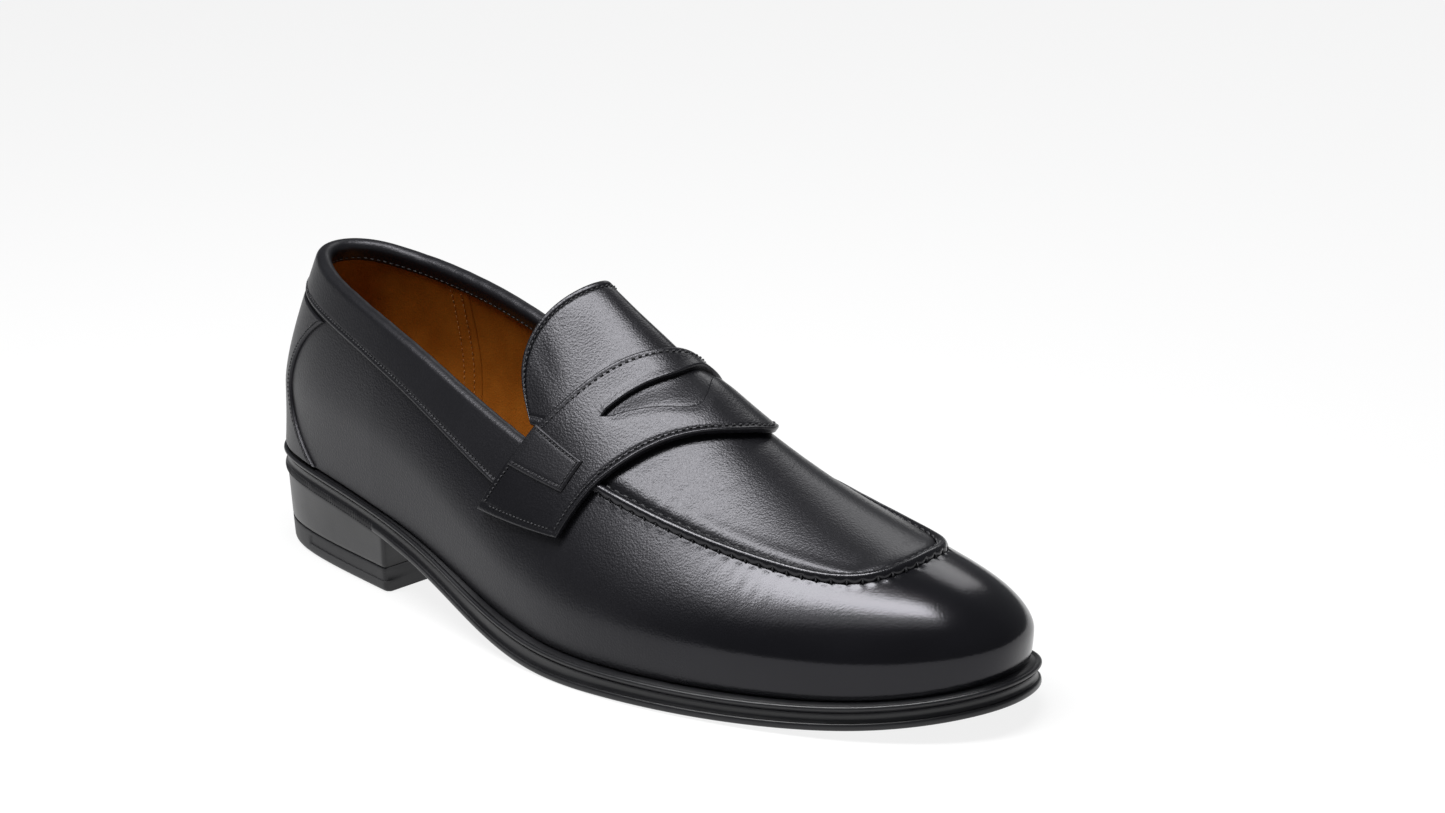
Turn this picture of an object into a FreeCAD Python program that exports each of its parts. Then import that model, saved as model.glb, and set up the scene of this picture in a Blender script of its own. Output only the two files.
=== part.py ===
import FreeCAD, Part
import math
import os

# Penny loafer, right shoe.  Millimetres, +X towards the toe, +Y towards the inner
# (medial) side of the foot, +Z up.  The ground is z = 0.  The shape functions work in
# a last frame whose x = 0 is close to the back of the heel.  finish() moves each solid
# so that the origin lies at the middle of the footprint, on the ground.

os.makedirs("parts", exist_ok=True)

V = FreeCAD.Vector

# ---- driving dimensions -------------------------------------------------------------
FOOTPRINT_MID = (149.5, -4.5)      # middle of the sole's bounding rectangle, last frame
LEATHER = 1.2                      # upper leather
STIFFENER = 0.8                    # heel counter and toe puff
LINING = 0.8                       # lining leather
GAP = 0.1                          # play between glued layers
STRAP = 1.6                        # saddle strap leather
TAB = 1.3                          # raised tab at each end of the strap
LIFT_HEIGHT = 8.7                  # heel top lift
BREAST_X = 76.0                    # heel breast at the ground
BREAST_LEAN = 0.06                 # breast leans forwards going up, mm per mm
OUTSOLE_THICK = 2.3
WELT_DROP = 2.4                    # welt thickness below the sole's top line
WELT_HEEL = 1.8                    # ledge between sole edge and upper, at the heel
WELT_FORE = 3.7                    # the same, at the forepart
CORD_R = 1.45                      # raised moccasin seam
HINGE_GAP = 0.6                    # free slit between tongue and strap
NAIL_R = 1.1

# Poles of the sole's plan outline: outer side from the back of the heel to the toe tip,
# then the inner side back to the heel.  They drive one closed smooth curve.
SOLE_POLES = [
    (-3.5, 4.5), (2, -9.5), (13.5, -21), (37, -29), (72, -36), (110, -44), (147, -54.5),
    (182, -58.5), (213, -55), (243, -47.5), (270, -36.5), (291, -21), (301, -5.5),
    (301.5, 8.5), (297, 22), (287, 33), (267, 41), (240, 47), (213, 49.5), (184, 44.5),
    (150, 32.5), (112, 27), (72, 32.5), (37, 37.5), (12, 30), (0, 18)]
# Height of the sole's underside: seat of the heel, waist, tread and toe spring.
UNDERSIDE = [25.5, 24.9, 22.3, 17.0, 6.3, -0.5, 0.3, 0.4, 1.5, 4.0, 11.5]
UNDERSIDE_STEP = 31.5
# Crest of the instep, every 36 mm.  Over the foot opening it is only a construction line.
CREST = [150, 151, 145, 125, 105, 81.5, 60.5, 48, 37, 28]
CENTRE = [3.5, 3.5, 3, 3.5, 4.5, 3.5, 3.5, 4.5, 6, 8]
CREST_STEP = 36.0

# Eleven stations on each side, from the back of the heel (0) to the toe tip (10).
TURN = [0, 40, 76, 91, 90, 90, 91, 97, 113, 141, 180]          # heading of the section
FOOT_X = [36, 36, 40, 68, 104, 140, 174, 203, 223, 233, 235]   # where it starts
BULGE_OUT = [-0.8, -0.8, 0.0, 0.8, 1.2, 1.2, 1.2, 1.2, 1.2, 1.0, 0.8]
BULGE_IN = [-0.8, -0.8, 0.5, 3.5, 6.0, 5.0, 2.5, 1.2, 1.2, 1.0, 0.8]
WIDEST_OUT = [20, 20, 22, 24, 22, 16, 13, 12, 11, 10, 9]       # above the feather line
WIDEST_IN = [20, 20, 22, 26, 26, 20, 15, 12, 11, 10, 9]
TAPER = [0.78, 0.76, 0.66, 0.60, 0.57, 0.53, 0.46, 0.39, 0.31, 0.25, 0.23]
ROUND = [1.8, 1.8, 2.0, 2.2, 2.5, 2.5, 2.4, 2.3, 2.2, 2.2, 2.2]
EDGE_OUT = [0.285, 0.285, 0.25, 0.218, 0.228, 0.273, 0.322, 0.362, 0.40, 0.41, 0.66]
EDGE_IN = [0.285, 0.285, 0.25, 0.218, 0.228, 0.273, 0.328, 0.38, 0.415, 0.45, 0.66]
BAND_LOW = [0.20, 0.19, 0.165, 0.13, 0.12, 0.143, 0.16]       # lower edge of the collar

# Edges of the pieces that lie across the instep: (station, height) with height -1 the
# widest point on the outer side, 0 the crest and +1 the widest point on the inner side.
STRAP_BACK = [
    (4.76, -0.925), (4.93, -0.81), (5.11, -0.685), (5.27, -0.565), (5.50, -0.36),
    (5.71, -0.15), (5.86, 0.06), (5.86, 0.26), (5.72, 0.46), (5.50, 0.62), (5.22, 0.76),
    (4.98, 0.90)]
STRAP_FRONT = [
    (5.74, -0.85), (5.82, -0.765), (5.90, -0.69), (6.03, -0.61), (6.31, -0.43),
    (6.62, -0.24), (6.98, -0.02), (6.97, 0.18), (6.68, 0.38), (6.36, 0.56), (6.12, 0.70),
    (6.00, 0.83)]
TONGUE_BACK = [
    (5.00, -0.69), (4.64, -0.62), (4.64, -0.46), (4.87, -0.22), (4.97, 0.02),
    (4.90, 0.26), (4.76, 0.47), (4.84, 0.62), (5.16, 0.69)]
SLOT_TOP = [(5.65, -0.52), (5.78, -0.39), (5.91, -0.26), (6.02, -0.14), (6.05, 0.0),
            (6.03, 0.14), (6.07, 0.30), (5.97, 0.45)]
SLOT_LIP = [(5.68, -0.52), (5.91, -0.41), (6.13, -0.30), (6.43, -0.17), (6.24, -0.01),
            (6.14, 0.14), (6.17, 0.30), (6.00, 0.45)]
TAB_OUT = [(5.11, -0.672), (5.71, -0.656), (5.63, -0.756), (4.97, -0.799)]
TAB_IN = [(5.31, 0.66), (5.91, 0.645), (5.83, 0.75), (5.17, 0.79)]
BACKSTAY_HALF = [2.0, 1.3, 1.15, 1.4, 2.0]                  # from the sole up
NAILS = [(22, -8), (20, 14), (52, -16), (52, 20)]


# ---- smooth functions of a few poles --------------------------------------------------
def blend4(a, b, c, d, t):
    """Uniform cubic spline between poles b and c."""
    s = 1.0 - t
    return (a * s ** 3 + b * (3 * t ** 3 - 6 * t * t + 4)
            + c * (3 * s ** 3 - 6 * s * s + 4) + d * t ** 3) / 6.0


def smooth(tab, u):
    """Smooth function with poles at 0, 1, 2 and so on, straight past its ends."""
    n = len(tab) - 1
    u = min(max(u, 0.0), float(n))
    i = min(int(u), n - 1)
    before = 2 * tab[0] - tab[1] if i == 0 else tab[i - 1]
    after = 2 * tab[n] - tab[n - 1] if i == n - 1 else tab[i + 2]
    return blend4(before, tab[i], tab[i + 1], after, u - i)


def smooth_ring(tab, u):
    n = len(tab)
    i = int(math.floor(u))
    return blend4(tab[(i - 1) % n], tab[i % n], tab[(i + 1) % n], tab[(i + 2) % n], u - i)


def smooth_mirror(tab, g, turn=0.0, sign=1.0):
    """Poles 0..n repeated as a mirror image past both ends."""
    n = len(tab) - 1
    i = min(int(g), n - 1)
    vals = []
    for k in (i - 1, i, i + 1, i + 2):
        if k < 0:
            vals.append(sign * tab[-k])
        elif k > n:
            vals.append(turn + sign * tab[2 * n - k])
        else:
            vals.append(tab[k])
    return blend4(vals[0], vals[1], vals[2], vals[3], g - i)


def smooth_pair(tab, q):
    """Plan or surface curve from a list of pairs, q from 0 to 1."""
    u = q * (len(tab) - 1)
    return smooth([p[0] for p in tab], u), smooth([p[1] for p in tab], u)


# ---- sole ---------------------------------------------------------------------------
OUTLINE_X = [p[0] for p in SOLE_POLES]
OUTLINE_Y = [p[1] for p in SOLE_POLES]


def outline(u):
    return smooth_ring(OUTLINE_X, u), smooth_ring(OUTLINE_Y, u)


def outline_inward(u):
    """Unit normal of the sole outline, pointing into the sole."""
    x1, y1 = outline(u - 0.05)
    x2, y2 = outline(u + 0.05)
    n = math.hypot(x2 - x1, y2 - y1)
    return -(y2 - y1) / n, (x2 - x1) / n


def ledge(x):
    return WELT_HEEL + (WELT_FORE - WELT_HEEL) * min(max((x - 70.0) / 80.0, 0.0), 1.0)


def underside(x):
    return smooth(UNDERSIDE, x / UNDERSIDE_STEP)


def topside(x):
    return underside(x) + 7.6 + 1.2 * math.exp(-((x - 140.0) / 45.0) ** 2)


def reach_exact(x, y, dx, dy):
    """Distance from (x, y) along (dx, dy) to the sole outline."""
    best = None
    n = len(SOLE_POLES)
    for i in range(2 * n):
        x1, y1 = outline(i / 2.0)
        x2, y2 = outline(i / 2.0 + 0.5)
        c1 = dx * (y1 - y) - dy * (x1 - x)
        c2 = dx * (y2 - y) - dy * (x2 - x)
        if c1 * c2 <= 0 and dx * (x1 + x2 - 2 * x) + dy * (y1 + y2 - 2 * y) > 0:
            best = (i / 2.0, i / 2.0 + 0.5, c1)
    low, high, clow = best
    for _ in range(24):
        mid = 0.5 * (low + high)
        xm, ym = outline(mid)
        cm = dx * (ym - y) - dy * (xm - x)
        if cm * clow > 0:
            low, clow = mid, cm
        else:
            high = mid
    xm, ym = outline(0.5 * (low + high))
    return math.hypot(xm - x, ym - y)


# ---- upper: w runs round the shoe, v runs up a section -------------------------------
# w = 0 is the back of the heel, 10 the toe tip and 20 the back again (inner side).
# v = -1 is the feather line, 0 the widest point and 1 the crest.
def heading(g):
    f = math.radians(smooth_mirror(TURN, g, 360.0 if g > 5 else 0.0, -1.0))
    return f


def foot(g):
    x = smooth_mirror(FOOT_X, g)
    return x, smooth(CENTRE, x / CREST_STEP)


def crest(x):
    return smooth(CREST, x / CREST_STEP)


def reach_table(side):
    out = []
    for k in range(-2, 204):
        g = abs(k) / 20.0
        if g > 10:
            g = 20 - g
        f = heading(g)
        x, y = foot(g)
        s = side if 0 <= k <= 200 else -side
        out.append(reach_exact(x, y, -math.cos(f), s * math.sin(f)))
    return out


REACH = {-1: reach_table(-1), 1: reach_table(1)}


def reach(g, side):
    u = g * 20.0 + 2
    tab = REACH[side]
    i = min(max(int(u), 1), len(tab) - 3)
    a, b, c, d = tab[i - 1], tab[i], tab[i + 1], tab[i + 2]
    t = u - i
    return b + 0.5 * t * (c - a + t * (2 * a - 5 * b + 4 * c - d + t * (3 * (b - c) + d - a)))


def round_shoe(outer, inner, w):
    return smooth_ring(list(outer) + list(inner[-2:0:-1]), w)


SECTIONS = {}


def section(w):
    """Everything that fixes one section of the last."""
    key = round(w % 20.0, 6)
    if key in SECTIONS:
        return SECTIONS[key]
    side = -1 if key <= 10 else 1
    g = key if key <= 10 else 20 - key
    f = heading(g)
    x, y = foot(g)
    dx = -math.cos(f)
    dy = side * math.sin(f)
    edge = reach(g, side)
    wl = ledge(x + edge * dx)
    r_low = edge - wl
    z_low = topside(x + r_low * dx) + 0.8
    r_wide = r_low + round_shoe(BULGE_OUT, BULGE_IN, key)
    z_wide = z_low + round_shoe(WIDEST_OUT, WIDEST_IN, key)
    slope = (crest(x + 1) - crest(x - 1)) / 2.0
    data = (x, y, dx, dy, r_low, z_low, r_wide, z_wide, smooth_mirror(TAPER, g),
            smooth_mirror(ROUND, g), crest(x), slope)
    SECTIONS[key] = data
    return data


def last(w, v):
    x, y, dx, dy, r_low, z_low, r_wide, z_wide, taper, power, z_top, slope = section(w)
    if v <= 0:
        r = r_wide - (r_wide - r_low) * v * v
        z = z_wide + (z_wide - z_low) * v
    else:
        u = 1 - (1 - v) ** 2
        k = (1 - taper * u * u * 1.18 / (u + 0.18)) * math.sqrt(max(0.0, 1 - u ** power))
        r = r_wide * k
        z = z_wide + (z_top - z_wide) * u + slope * dx * r * (1 - k) ** 1.5
    return V(x + dx * r, y + dy * r, z)


def frame_at(w, v):
    """Point, unit vector up the section, unit outward normal."""
    p = last(w, v)
    dw = last(w + 0.02, v) - last(w - 0.02, v)
    low = max(v - 0.01, -1.0)
    dv = last(w, min(v + 0.01, 0.999)) - last(w, low)
    n = dw.cross(dv)
    n.normalize()
    dv.normalize()
    return p, dv, n


def skin(w, v, off):
    """Point at a distance off outside the last surface."""
    p, up, n = frame_at(w, v)
    return p + n * off


def across(g, c, off):
    """Point of a piece that lies across the instep, c from -1 to 1 over the crest."""
    def bare(a, b):
        return last(a if b < 0 else 20 - a, 1 - abs(b))
    p = bare(g, c)
    n = (bare(g + 0.02, c) - bare(g - 0.02, c)).cross(bare(g, c + 0.01) - bare(g, c - 0.01))
    n.normalize()
    return p + n * off


def edge_v(w):
    """Upper edge of the side wall: topline at the back, moccasin seam in front."""
    return round_shoe(EDGE_OUT, EDGE_IN, w % 20.0)


def below_edge(w, s):
    """Height v that lies s millimetres under the upper edge, along the leather."""
    v = edge_v(w)
    rate = (last(w, v) - last(w, v - 0.02)).Length / 0.02
    return v - s / rate


def band_v(w):
    g = w % 20.0
    g = g if g <= 10 else 20 - g
    return smooth(BAND_LOW, min(g, 6.0))


def spread(a, b, n):
    return [a + (b - a) * i / float(n - 1) for i in range(n)]


def even_heights(w, v0, v1, n):
    """Heights v between two limits, evenly spaced along the leather."""
    fine = spread(v0, v1, 61)
    pts = [last(w, v) for v in fine]
    run = [0.0]
    for a, b in zip(pts[:-1], pts[1:]):
        run.append(run[-1] + (b - a).Length)
    out = [v0]
    k = 0
    for i in range(1, n - 1):
        goal = run[-1] * i / float(n - 1)
        while run[k + 1] < goal:
            k += 1
        t = (goal - run[k]) / (run[k + 1] - run[k])
        out.append(fine[k] + (fine[k + 1] - fine[k]) * t)
    return out + [v1]


# ---- closed solids from two sheets of points -------------------------------------------
def through(pts):
    """Poles of the uniform cubic spline that passes through the points, ends natural."""
    n = len(pts) - 1
    poles = list(pts)
    gain = [0.0] * (n + 1)
    for i in range(1, n):
        k = 4.0 - gain[i - 1]
        gain[i] = 1.0 / k
        poles[i] = (pts[i] * 6.0 - poles[i - 1]) * (1.0 / k)
    for i in range(n - 1, 0, -1):
        poles[i] = poles[i] - poles[i + 1] * gain[i]
    near = (poles[0] * 2 + poles[1]) * (1.0 / 3)
    far = (poles[-1] * 2 + poles[-2]) * (1.0 / 3)
    return [poles[0], near] + poles[1:-1] + [far, poles[-1]]


def even_knots(count):
    knots = [float(i) for i in range(count - 2)]
    return knots, [4] + [1] * (len(knots) - 2) + [4]


def sheet(rows):
    """Smooth face through a grid of points."""
    half = [through(r) for r in rows]
    cols = [through([h[j] for h in half]) for j in range(len(half[0]))]
    poles = [[c[i] for c in cols] for i in range(len(cols[0]))]
    uk, um = even_knots(len(poles))
    vk, vm = even_knots(len(poles[0]))
    s = Part.BSplineSurface()
    s.buildFromPolesMultsKnots(poles, um, vm, uk, vk, False, False, 3, 3)
    return s.toShape()


def outward(solid):
    if solid.Volume < 0:
        solid.reverse()
    return solid


def border(rows, k):
    if k == 0:
        return list(rows[0])
    if k == 1:
        return list(rows[-1])
    if k == 2:
        return [r[0] for r in rows]
    return [r[-1] for r in rows]


def rim(a, b):
    """Straight-sided face between two matching borders."""
    pa = through(a)
    pb = through(b)
    vk, vm = even_knots(len(pa))
    s = Part.BSplineSurface()
    s.buildFromPolesMultsKnots([pa, pb], [2, 2], vm, [0.0, 1.0], vk, False, False, 1, 3)
    return s.toShape()


def solid_between(top, bottom):
    """Solid between two sheets with the same number of rows and columns."""
    faces = [sheet(top), sheet(bottom)]
    faces += [rim(border(top, k), border(bottom, k)) for k in range(4)]
    return outward(Part.makeSolid(Part.makeShell(faces)))


def layer(ws, low, high, outer, inner, nv):
    """Strip of leather round the shoe between two heights."""
    top = []
    bottom = []
    for w in ws:
        vs = even_heights(w, low(w), high(w), nv)
        top.append([skin(w, v, outer) for v in vs])
        bottom.append([skin(w, v, inner) for v in vs])
    return solid_between(top, bottom)


def bridge(back, front, outer, inner, nq, nt, q0=0.0, q1=1.0):
    """Leather across the instep between a back and a front edge."""
    top = []
    bottom = []
    for q in spread(q0, q1, nq):
        g1, c1 = back(q)
        g2, c2 = front(q)
        pairs = [(g1 + (g2 - g1) * t, c1 + (c2 - c1) * t) for t in spread(0.0, 1.0, nt)]
        top.append([across(g, c, outer) for g, c in pairs])
        bottom.append([across(g, c, inner) for g, c in pairs])
    return solid_between(top, bottom)


def plan_wire(inset, z=0.0, per=4):
    pts = []
    for i in range(per * len(SOLE_POLES)):
        u = i / float(per)
        x, y = outline(u)
        nx, ny = outline_inward(u)
        d = inset(x) if callable(inset) else inset
        pts.append(V(x + nx * d, y + ny * d, z))
    c = Part.BSplineCurve()
    c.interpolate(pts, PeriodicFlag=True)
    return Part.Wire([c.toShape()])


def prism(inset):
    w = plan_wire(inset, -20.0)
    return outward(Part.Face(w).extrude(V(0, 0, 120)))


def profile_line(height, x0, x1, n=28):
    return [V(x, -90, height(x)) for x in spread(x0, x1, n)]


def slab(low, high, x0=-15.0, x1=315.0):
    """Everything between two heights that depend on x only."""
    a = Part.BSplineCurve()
    a.interpolate(profile_line(low, x0, x1))
    b = Part.BSplineCurve()
    b.interpolate(profile_line(high, x0, x1))
    e1 = a.toShape()
    e2 = b.toShape()
    s1 = Part.makeLine(V(x0, -90, low(x0)), V(x0, -90, high(x0)))
    s2 = Part.makeLine(V(x1, -90, low(x1)), V(x1, -90, high(x1)))
    face = Part.Face(Part.Wire([e1, s2, e2, s1]))
    return outward(face.extrude(V(0, 180, 0)))


def flat_under(x):
    return underside(min(max(x, 0.0), 303.0))


def flat_top(x):
    return topside(min(max(x, 0.0), 303.0))


def plate(inset, low, high, x0=-15.0, x1=315.0):
    return prism(inset).common(slab(low, high, x0, x1))


def make_outsole():
    return plate(0.2, flat_under, lambda x: flat_under(x) + OUTSOLE_THICK)


def make_midsole():
    return plate(1.1, lambda x: flat_under(x) + OUTSOLE_THICK + GAP,
                 lambda x: flat_top(x) - WELT_DROP - 2 * GAP)


def on_welt(u, inward, height):
    """Point a distance inside the outline, at a height over the sole's top line."""
    x, y = outline(u)
    nx, ny = outline_inward(u)
    x += nx * inward
    y += ny * inward
    return V(x, y, topside(x) + height)


def make_welt():
    """Rand round the upper with a rounded bead at its rim."""
    bead = [(0.15, 8.0), (0.3, 5.6), (0.3, 3.4), (0.3, 1.6), (0.2, 0.6), (-0.2, 0.08),
            (-0.9, 0.0), (-1.6, 0.3), (-1.9, 0.7)]
    under = [(-WELT_DROP, 8.0 - 0.86 * i) for i in range(len(bead))]
    top = []
    bottom = []
    n = len(SOLE_POLES)
    for u in spread(22.01, 22.0 + n - 0.01, 4 * n + 1):
        top.append([on_welt(u, d, h) for h, d in bead])
        bottom.append([on_welt(u, d, h) for h, d in under])
    return solid_between(top, bottom)


def heel_rings(z, inset, n=40):
    """Heel outline at one height: round the back, then straight across the breast."""
    pts = []
    front = BREAST_X + BREAST_LEAN * z
    n_poles = len(SOLE_POLES)
    for i in range(-6 * 16, 6 * 16 + 1):
        x, y = outline(i / 16.0 % n_poles)
        nx, ny = outline_inward(i / 16.0 % n_poles)
        x += nx * inset
        y += ny * inset
        if x < front - 0.5 + 0.03 * y:
            pts.append(V(x, y, z))
    c = Part.BSplineCurve()
    c.interpolate(pts[::6] if (len(pts) - 1) % 6 == 0 else pts[:-1:6] + [pts[-1]])
    e = c.toShape()
    return Part.Wire([e, Part.makeLine(c.EndPoint, c.StartPoint)])


def make_heel_cone():
    """Tapered heel stack before it is cut to height."""
    return outward(Part.makeLoft([heel_rings(-1.0, 3.0), heel_rings(31.0, 0.6)], True, True))


def make_heel_parts():
    cone = make_heel_cone()
    corner = V(-15, -90, LIFT_HEIGHT + GAP)
    block = cone.common(slab(lambda x: -5.0, lambda x: flat_under(x) - GAP, -15.0, 100.0))
    block = block.common(Part.makeBox(115, 180, 40, corner))
    lift = cone.common(Part.makeBox(115, 180, LIFT_HEIGHT, V(-15, -90, 0)))
    recess = Part.makeBox(26, 6, 3.6, V(46, -34.6, 3.0))
    recess.rotate(V(46, -31.6, 0), V(0, 0, 1), -13.5)
    lift = lift.cut(recess)
    nails = []
    for x, y in NAILS:
        top = flat_under(x) + OUTSOLE_THICK - 0.1
        nails.append(Part.makeCylinder(NAIL_R, 14.0, V(x, y, top - 14.0)))
    return block, lift, nails


def make_shank():
    """Spring steel strip in the waist, between welt and board."""
    rows = []
    for x in spread(46.0, 150.0, 14):
        y = smooth(CENTRE, x / CREST_STEP) - 1.0
        rows.append((x, y))
    top = [[V(x, y + d, flat_top(x) - 0.5) for d in (-6, 0, 6)] for x, y in rows]
    bot = [[V(x, y + d, flat_top(x) - 1.9) for d in (-6, 0, 6)] for x, y in rows]
    return solid_between(top, bot)


def inner_inset(x):
    return ledge(x) + 3.5


# ---- upper ------------------------------------------------------------------------------
def make_side_wall():
    ws = spread(0.012, 19.988, 121)

    def high(w):
        g = w if w <= 10 else 20 - w
        drop = 4.2 if g < 5.3 else 4.2 - 2.6 * min((g - 5.3) / 0.7, 1.0)
        return below_edge(w, drop)
    return layer(ws, lambda w: -0.995, high, 0.0, -LEATHER, 13)


def make_heel_counter():
    ws = spread(-2.7, 2.7, 37)
    return layer(ws, lambda w: -0.95, lambda w: 0.12, -LEATHER - GAP,
                 -LEATHER - GAP - STIFFENER, 7)


def make_toe_puff():
    ws = spread(8.3, 11.7, 31)
    return layer(ws, lambda w: -0.9, lambda w: 0.32, -LEATHER - GAP,
                 -LEATHER - GAP - STIFFENER, 7)


def lining_piece(w0, w1, n):
    outer = -LEATHER - STIFFENER - 2 * GAP

    def high(w):
        k = w % 20.0
        g = k if k <= 10 else 20 - k
        drop = 4.2 if g < 5.3 else 4.2 - 1.7 * min((g - 5.3) / 0.7, 1.0)
        return below_edge(w, drop)
    return layer(spread(w0, w1, n), lambda w: -0.93, high, outer, outer - LINING, 8)


def make_backstay():
    """Narrow-waisted cover over the back seam, from the sole to the collar band."""
    top = []
    bottom = []
    rows = 11
    for i in range(rows):
        half = smooth(BACKSTAY_HALF, i * 4.0 / (rows - 1))
        ws = spread(-half, half, 17)
        vs = [even_heights(w, -0.99, band_v(w) - 0.008, rows)[i] for w in ws]
        top.append([skin(w, v, 1.0) for w, v in zip(ws, vs)])
        bottom.append([skin(w, v, GAP) for w, v in zip(ws, vs)])
    return solid_between(top, bottom)


def collar_stations(w0, w1, n):
    return [(w, frame_at(w, edge_v(w))) for w in spread(w0, w1, n)]


def make_collar():
    """Collar band, rolled over the topline and turned down inside."""
    top = []
    bottom = []
    for w, (p, up, out) in collar_stations(-5.3, 5.3, 85):
        band = spread(band_v(w), below_edge(w, 2.6), 6)
        t_row = [skin(w, v, 1.2) for v in band]
        b_row = [skin(w, v, 0.15) for v in band]
        for k in range(7):
            a = math.radians(15.0 + 25.0 * k)
            t_row.append(p + out * (-1.45 + 2.65 * math.cos(a)) + up * (2.65 * math.sin(a) - 2.3))
            b_row.append(p + out * (-1.45 + 1.6 * math.cos(a)) + up * (1.6 * math.sin(a) - 2.3))
        for s in (3.6, 5.0, 6.4):
            t_row.append(p + out * -4.12 - up * s)
            b_row.append(p + out * -3.1 - up * s)
        top.append(t_row)
        bottom.append(b_row)
    return solid_between(top, bottom)


def make_collar_cord():
    """Soft cord inside the collar roll."""
    arc = [math.radians(a) for a in (8, 36, 64, 90, 116, 144, 172)]
    top = []
    bottom = []
    for w, (p, up, out) in collar_stations(-5.25, 5.25, 85):
        mid = p - out * 1.45 - up * 2.35
        top.append([mid + out * (1.35 * math.cos(a)) + up * (1.35 * math.sin(a)) for a in arc])
        bottom.append([mid + out * (1.35 * math.cos(a)) - up * (1.35 * math.sin(a)) for a in arc])
    return solid_between(top, bottom)


def make_moc_seam():
    """Raised hand-sewn ridge where the apron meets the wall."""
    arc = [math.radians(a) for a in (8, 36, 64, 90, 116, 144, 172)]
    top = []
    bottom = []
    for w in spread(6.02, 13.62, 81):
        p, up, out = frame_at(w, edge_v(w))
        mid = p + out * 0.25
        top.append([mid - up * (CORD_R * math.cos(a)) + out * (CORD_R * math.sin(a)) for a in arc])
        bottom.append([mid - up * (CORD_R * math.cos(a)) - out * (CORD_R * math.sin(a)) for a in arc])
    return solid_between(top, bottom)


# ---- apron: plan positions inside the seam, height from the last -----------------------
def locate(x, y):
    """Section and height of the last surface above a plan position."""
    side = -1
    if y > smooth(CENTRE, min(x, 235.0) / CREST_STEP):
        side = 1
    low, high = 4.0, 10.0
    for _ in range(40):
        g = 0.5 * (low + high)
        f = heading(g)
        bx, by = foot(g)
        turn = -math.cos(f) * (y - by) - side * math.sin(f) * (x - bx)
        if turn * side < 0:
            low = g
        else:
            high = g
    w = g if side < 0 else 20 - g
    data = section(w)
    r = math.hypot(x - data[0], y - data[1])
    a, b = 0.0, 1.0
    for _ in range(40):
        v = 0.5 * (a + b)
        p = last(w, v)
        if math.hypot(p.x - data[0], p.y - data[1]) > r:
            a = v
        else:
            b = v
    return last(w, v).z


def lifted(x, y, off):
    z = locate(x, y)
    sx = (locate(x + 0.4, y) - locate(x - 0.4, y)) / 0.8
    sy = (locate(x, y + 0.4) - locate(x, y - 0.4)) / 0.8
    n = V(-sx, -sy, 1)
    n.normalize()
    return V(x, y, z) + n * off


def seam_plan(w, inside):
    """Plan point inside the moccasin seam."""
    p = last(w, edge_v(w))
    t = last(w + 0.03, edge_v(w + 0.03)) - last(w - 0.03, edge_v(w - 0.03))
    n = math.hypot(t.x, t.y)
    return p.x - t.y / n * inside, p.y + t.x / n * inside


def apron_grid(inside, back_step, nu=21, nv=25):
    """Plan grid with four sides: the back edge, the two long sides and the toe arc."""
    left = [seam_plan(w, inside) for w in spread(6.0 - back_step, 8.9, nv)]
    right = [seam_plan(w, inside) for w in spread(13.9 + back_step, 11.1, nv)]
    front = [seam_plan(w, inside) for w in spread(8.9, 11.1, nu)]
    rear = []
    for s in spread(0.0, 1.0, nu):
        bow = 5.0 * (1 - (2 * s - 1) ** 2)
        rear.append((left[0][0] + (right[0][0] - left[0][0]) * s + bow,
                     left[0][1] + (right[0][1] - left[0][1]) * s))
    rows = []
    for i in range(nu):
        s = i / float(nu - 1)
        row = []
        for j in range(nv):
            t = j / float(nv - 1)
            row.append(tuple(coons(left[j][k], right[j][k], rear[i][k], front[i][k],
                                   left[0][k], right[0][k], left[-1][k], right[-1][k], s, t)
                             for k in (0, 1)))
        rows.append(row)
    return rows


def coons(le, ri, re, fr, c00, c10, c01, c11, s, t):
    ruled = (1 - s) * le + s * ri + (1 - t) * re + t * fr
    corner = (1 - s) * (1 - t) * c00 + s * (1 - t) * c10 + (1 - s) * t * c01 + s * t * c11
    return ruled - corner


def apron_sheet(inside, back_step, outer, inner):
    rows = apron_grid(inside, back_step)
    top = [[lifted(x, y, outer) for x, y in r] for r in rows]
    bottom = [[lifted(x, y, inner) for x, y in r] for r in rows]
    return solid_between(top, bottom)


def make_apron():
    return apron_sheet(1.7, 0.0, 0.0, -LEATHER)


def make_apron_lining():
    return apron_sheet(2.4, -0.05, -LEATHER - GAP, -LEATHER - GAP - LINING)


# ---- strap, tongue ----------------------------------------------------------------------
STRAP_LOW = 1.35


def shifted(curve, toward, mm):
    """Edge moved towards another edge by a distance along the leather."""
    def moved(q):
        g1, c1 = curve(q)
        g2, c2 = toward(q)
        span = (across(g1, c1, 0) - across(g2, c2, 0)).Length
        k = min(mm / span, 0.45)
        return g1 + (g2 - g1) * k, c1 + (c2 - c1) * k
    return moved


def strap_back(q):
    return smooth_pair(STRAP_BACK, q)


def strap_front(q):
    return smooth_pair(STRAP_FRONT, q)


def strap_q(c):
    """Position along the strap where its back edge has height c."""
    low, high = 0.0, 1.0
    for _ in range(30):
        mid = 0.5 * (low + high)
        if strap_back(mid)[1] < c:
            low = mid
        else:
            high = mid
    return 0.5 * (low + high)


def make_saddle_strap():
    body = bridge(strap_back, strap_front, STRAP_LOW + STRAP, STRAP_LOW, 57, 9)
    cut = bridge(lambda q: smooth_pair(SLOT_TOP, q), lambda q: smooth_pair(SLOT_LIP, q),
                 STRAP_LOW + STRAP + 1.5, STRAP_LOW - 0.02, 31, 5)
    return body.cut(cut)


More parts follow.
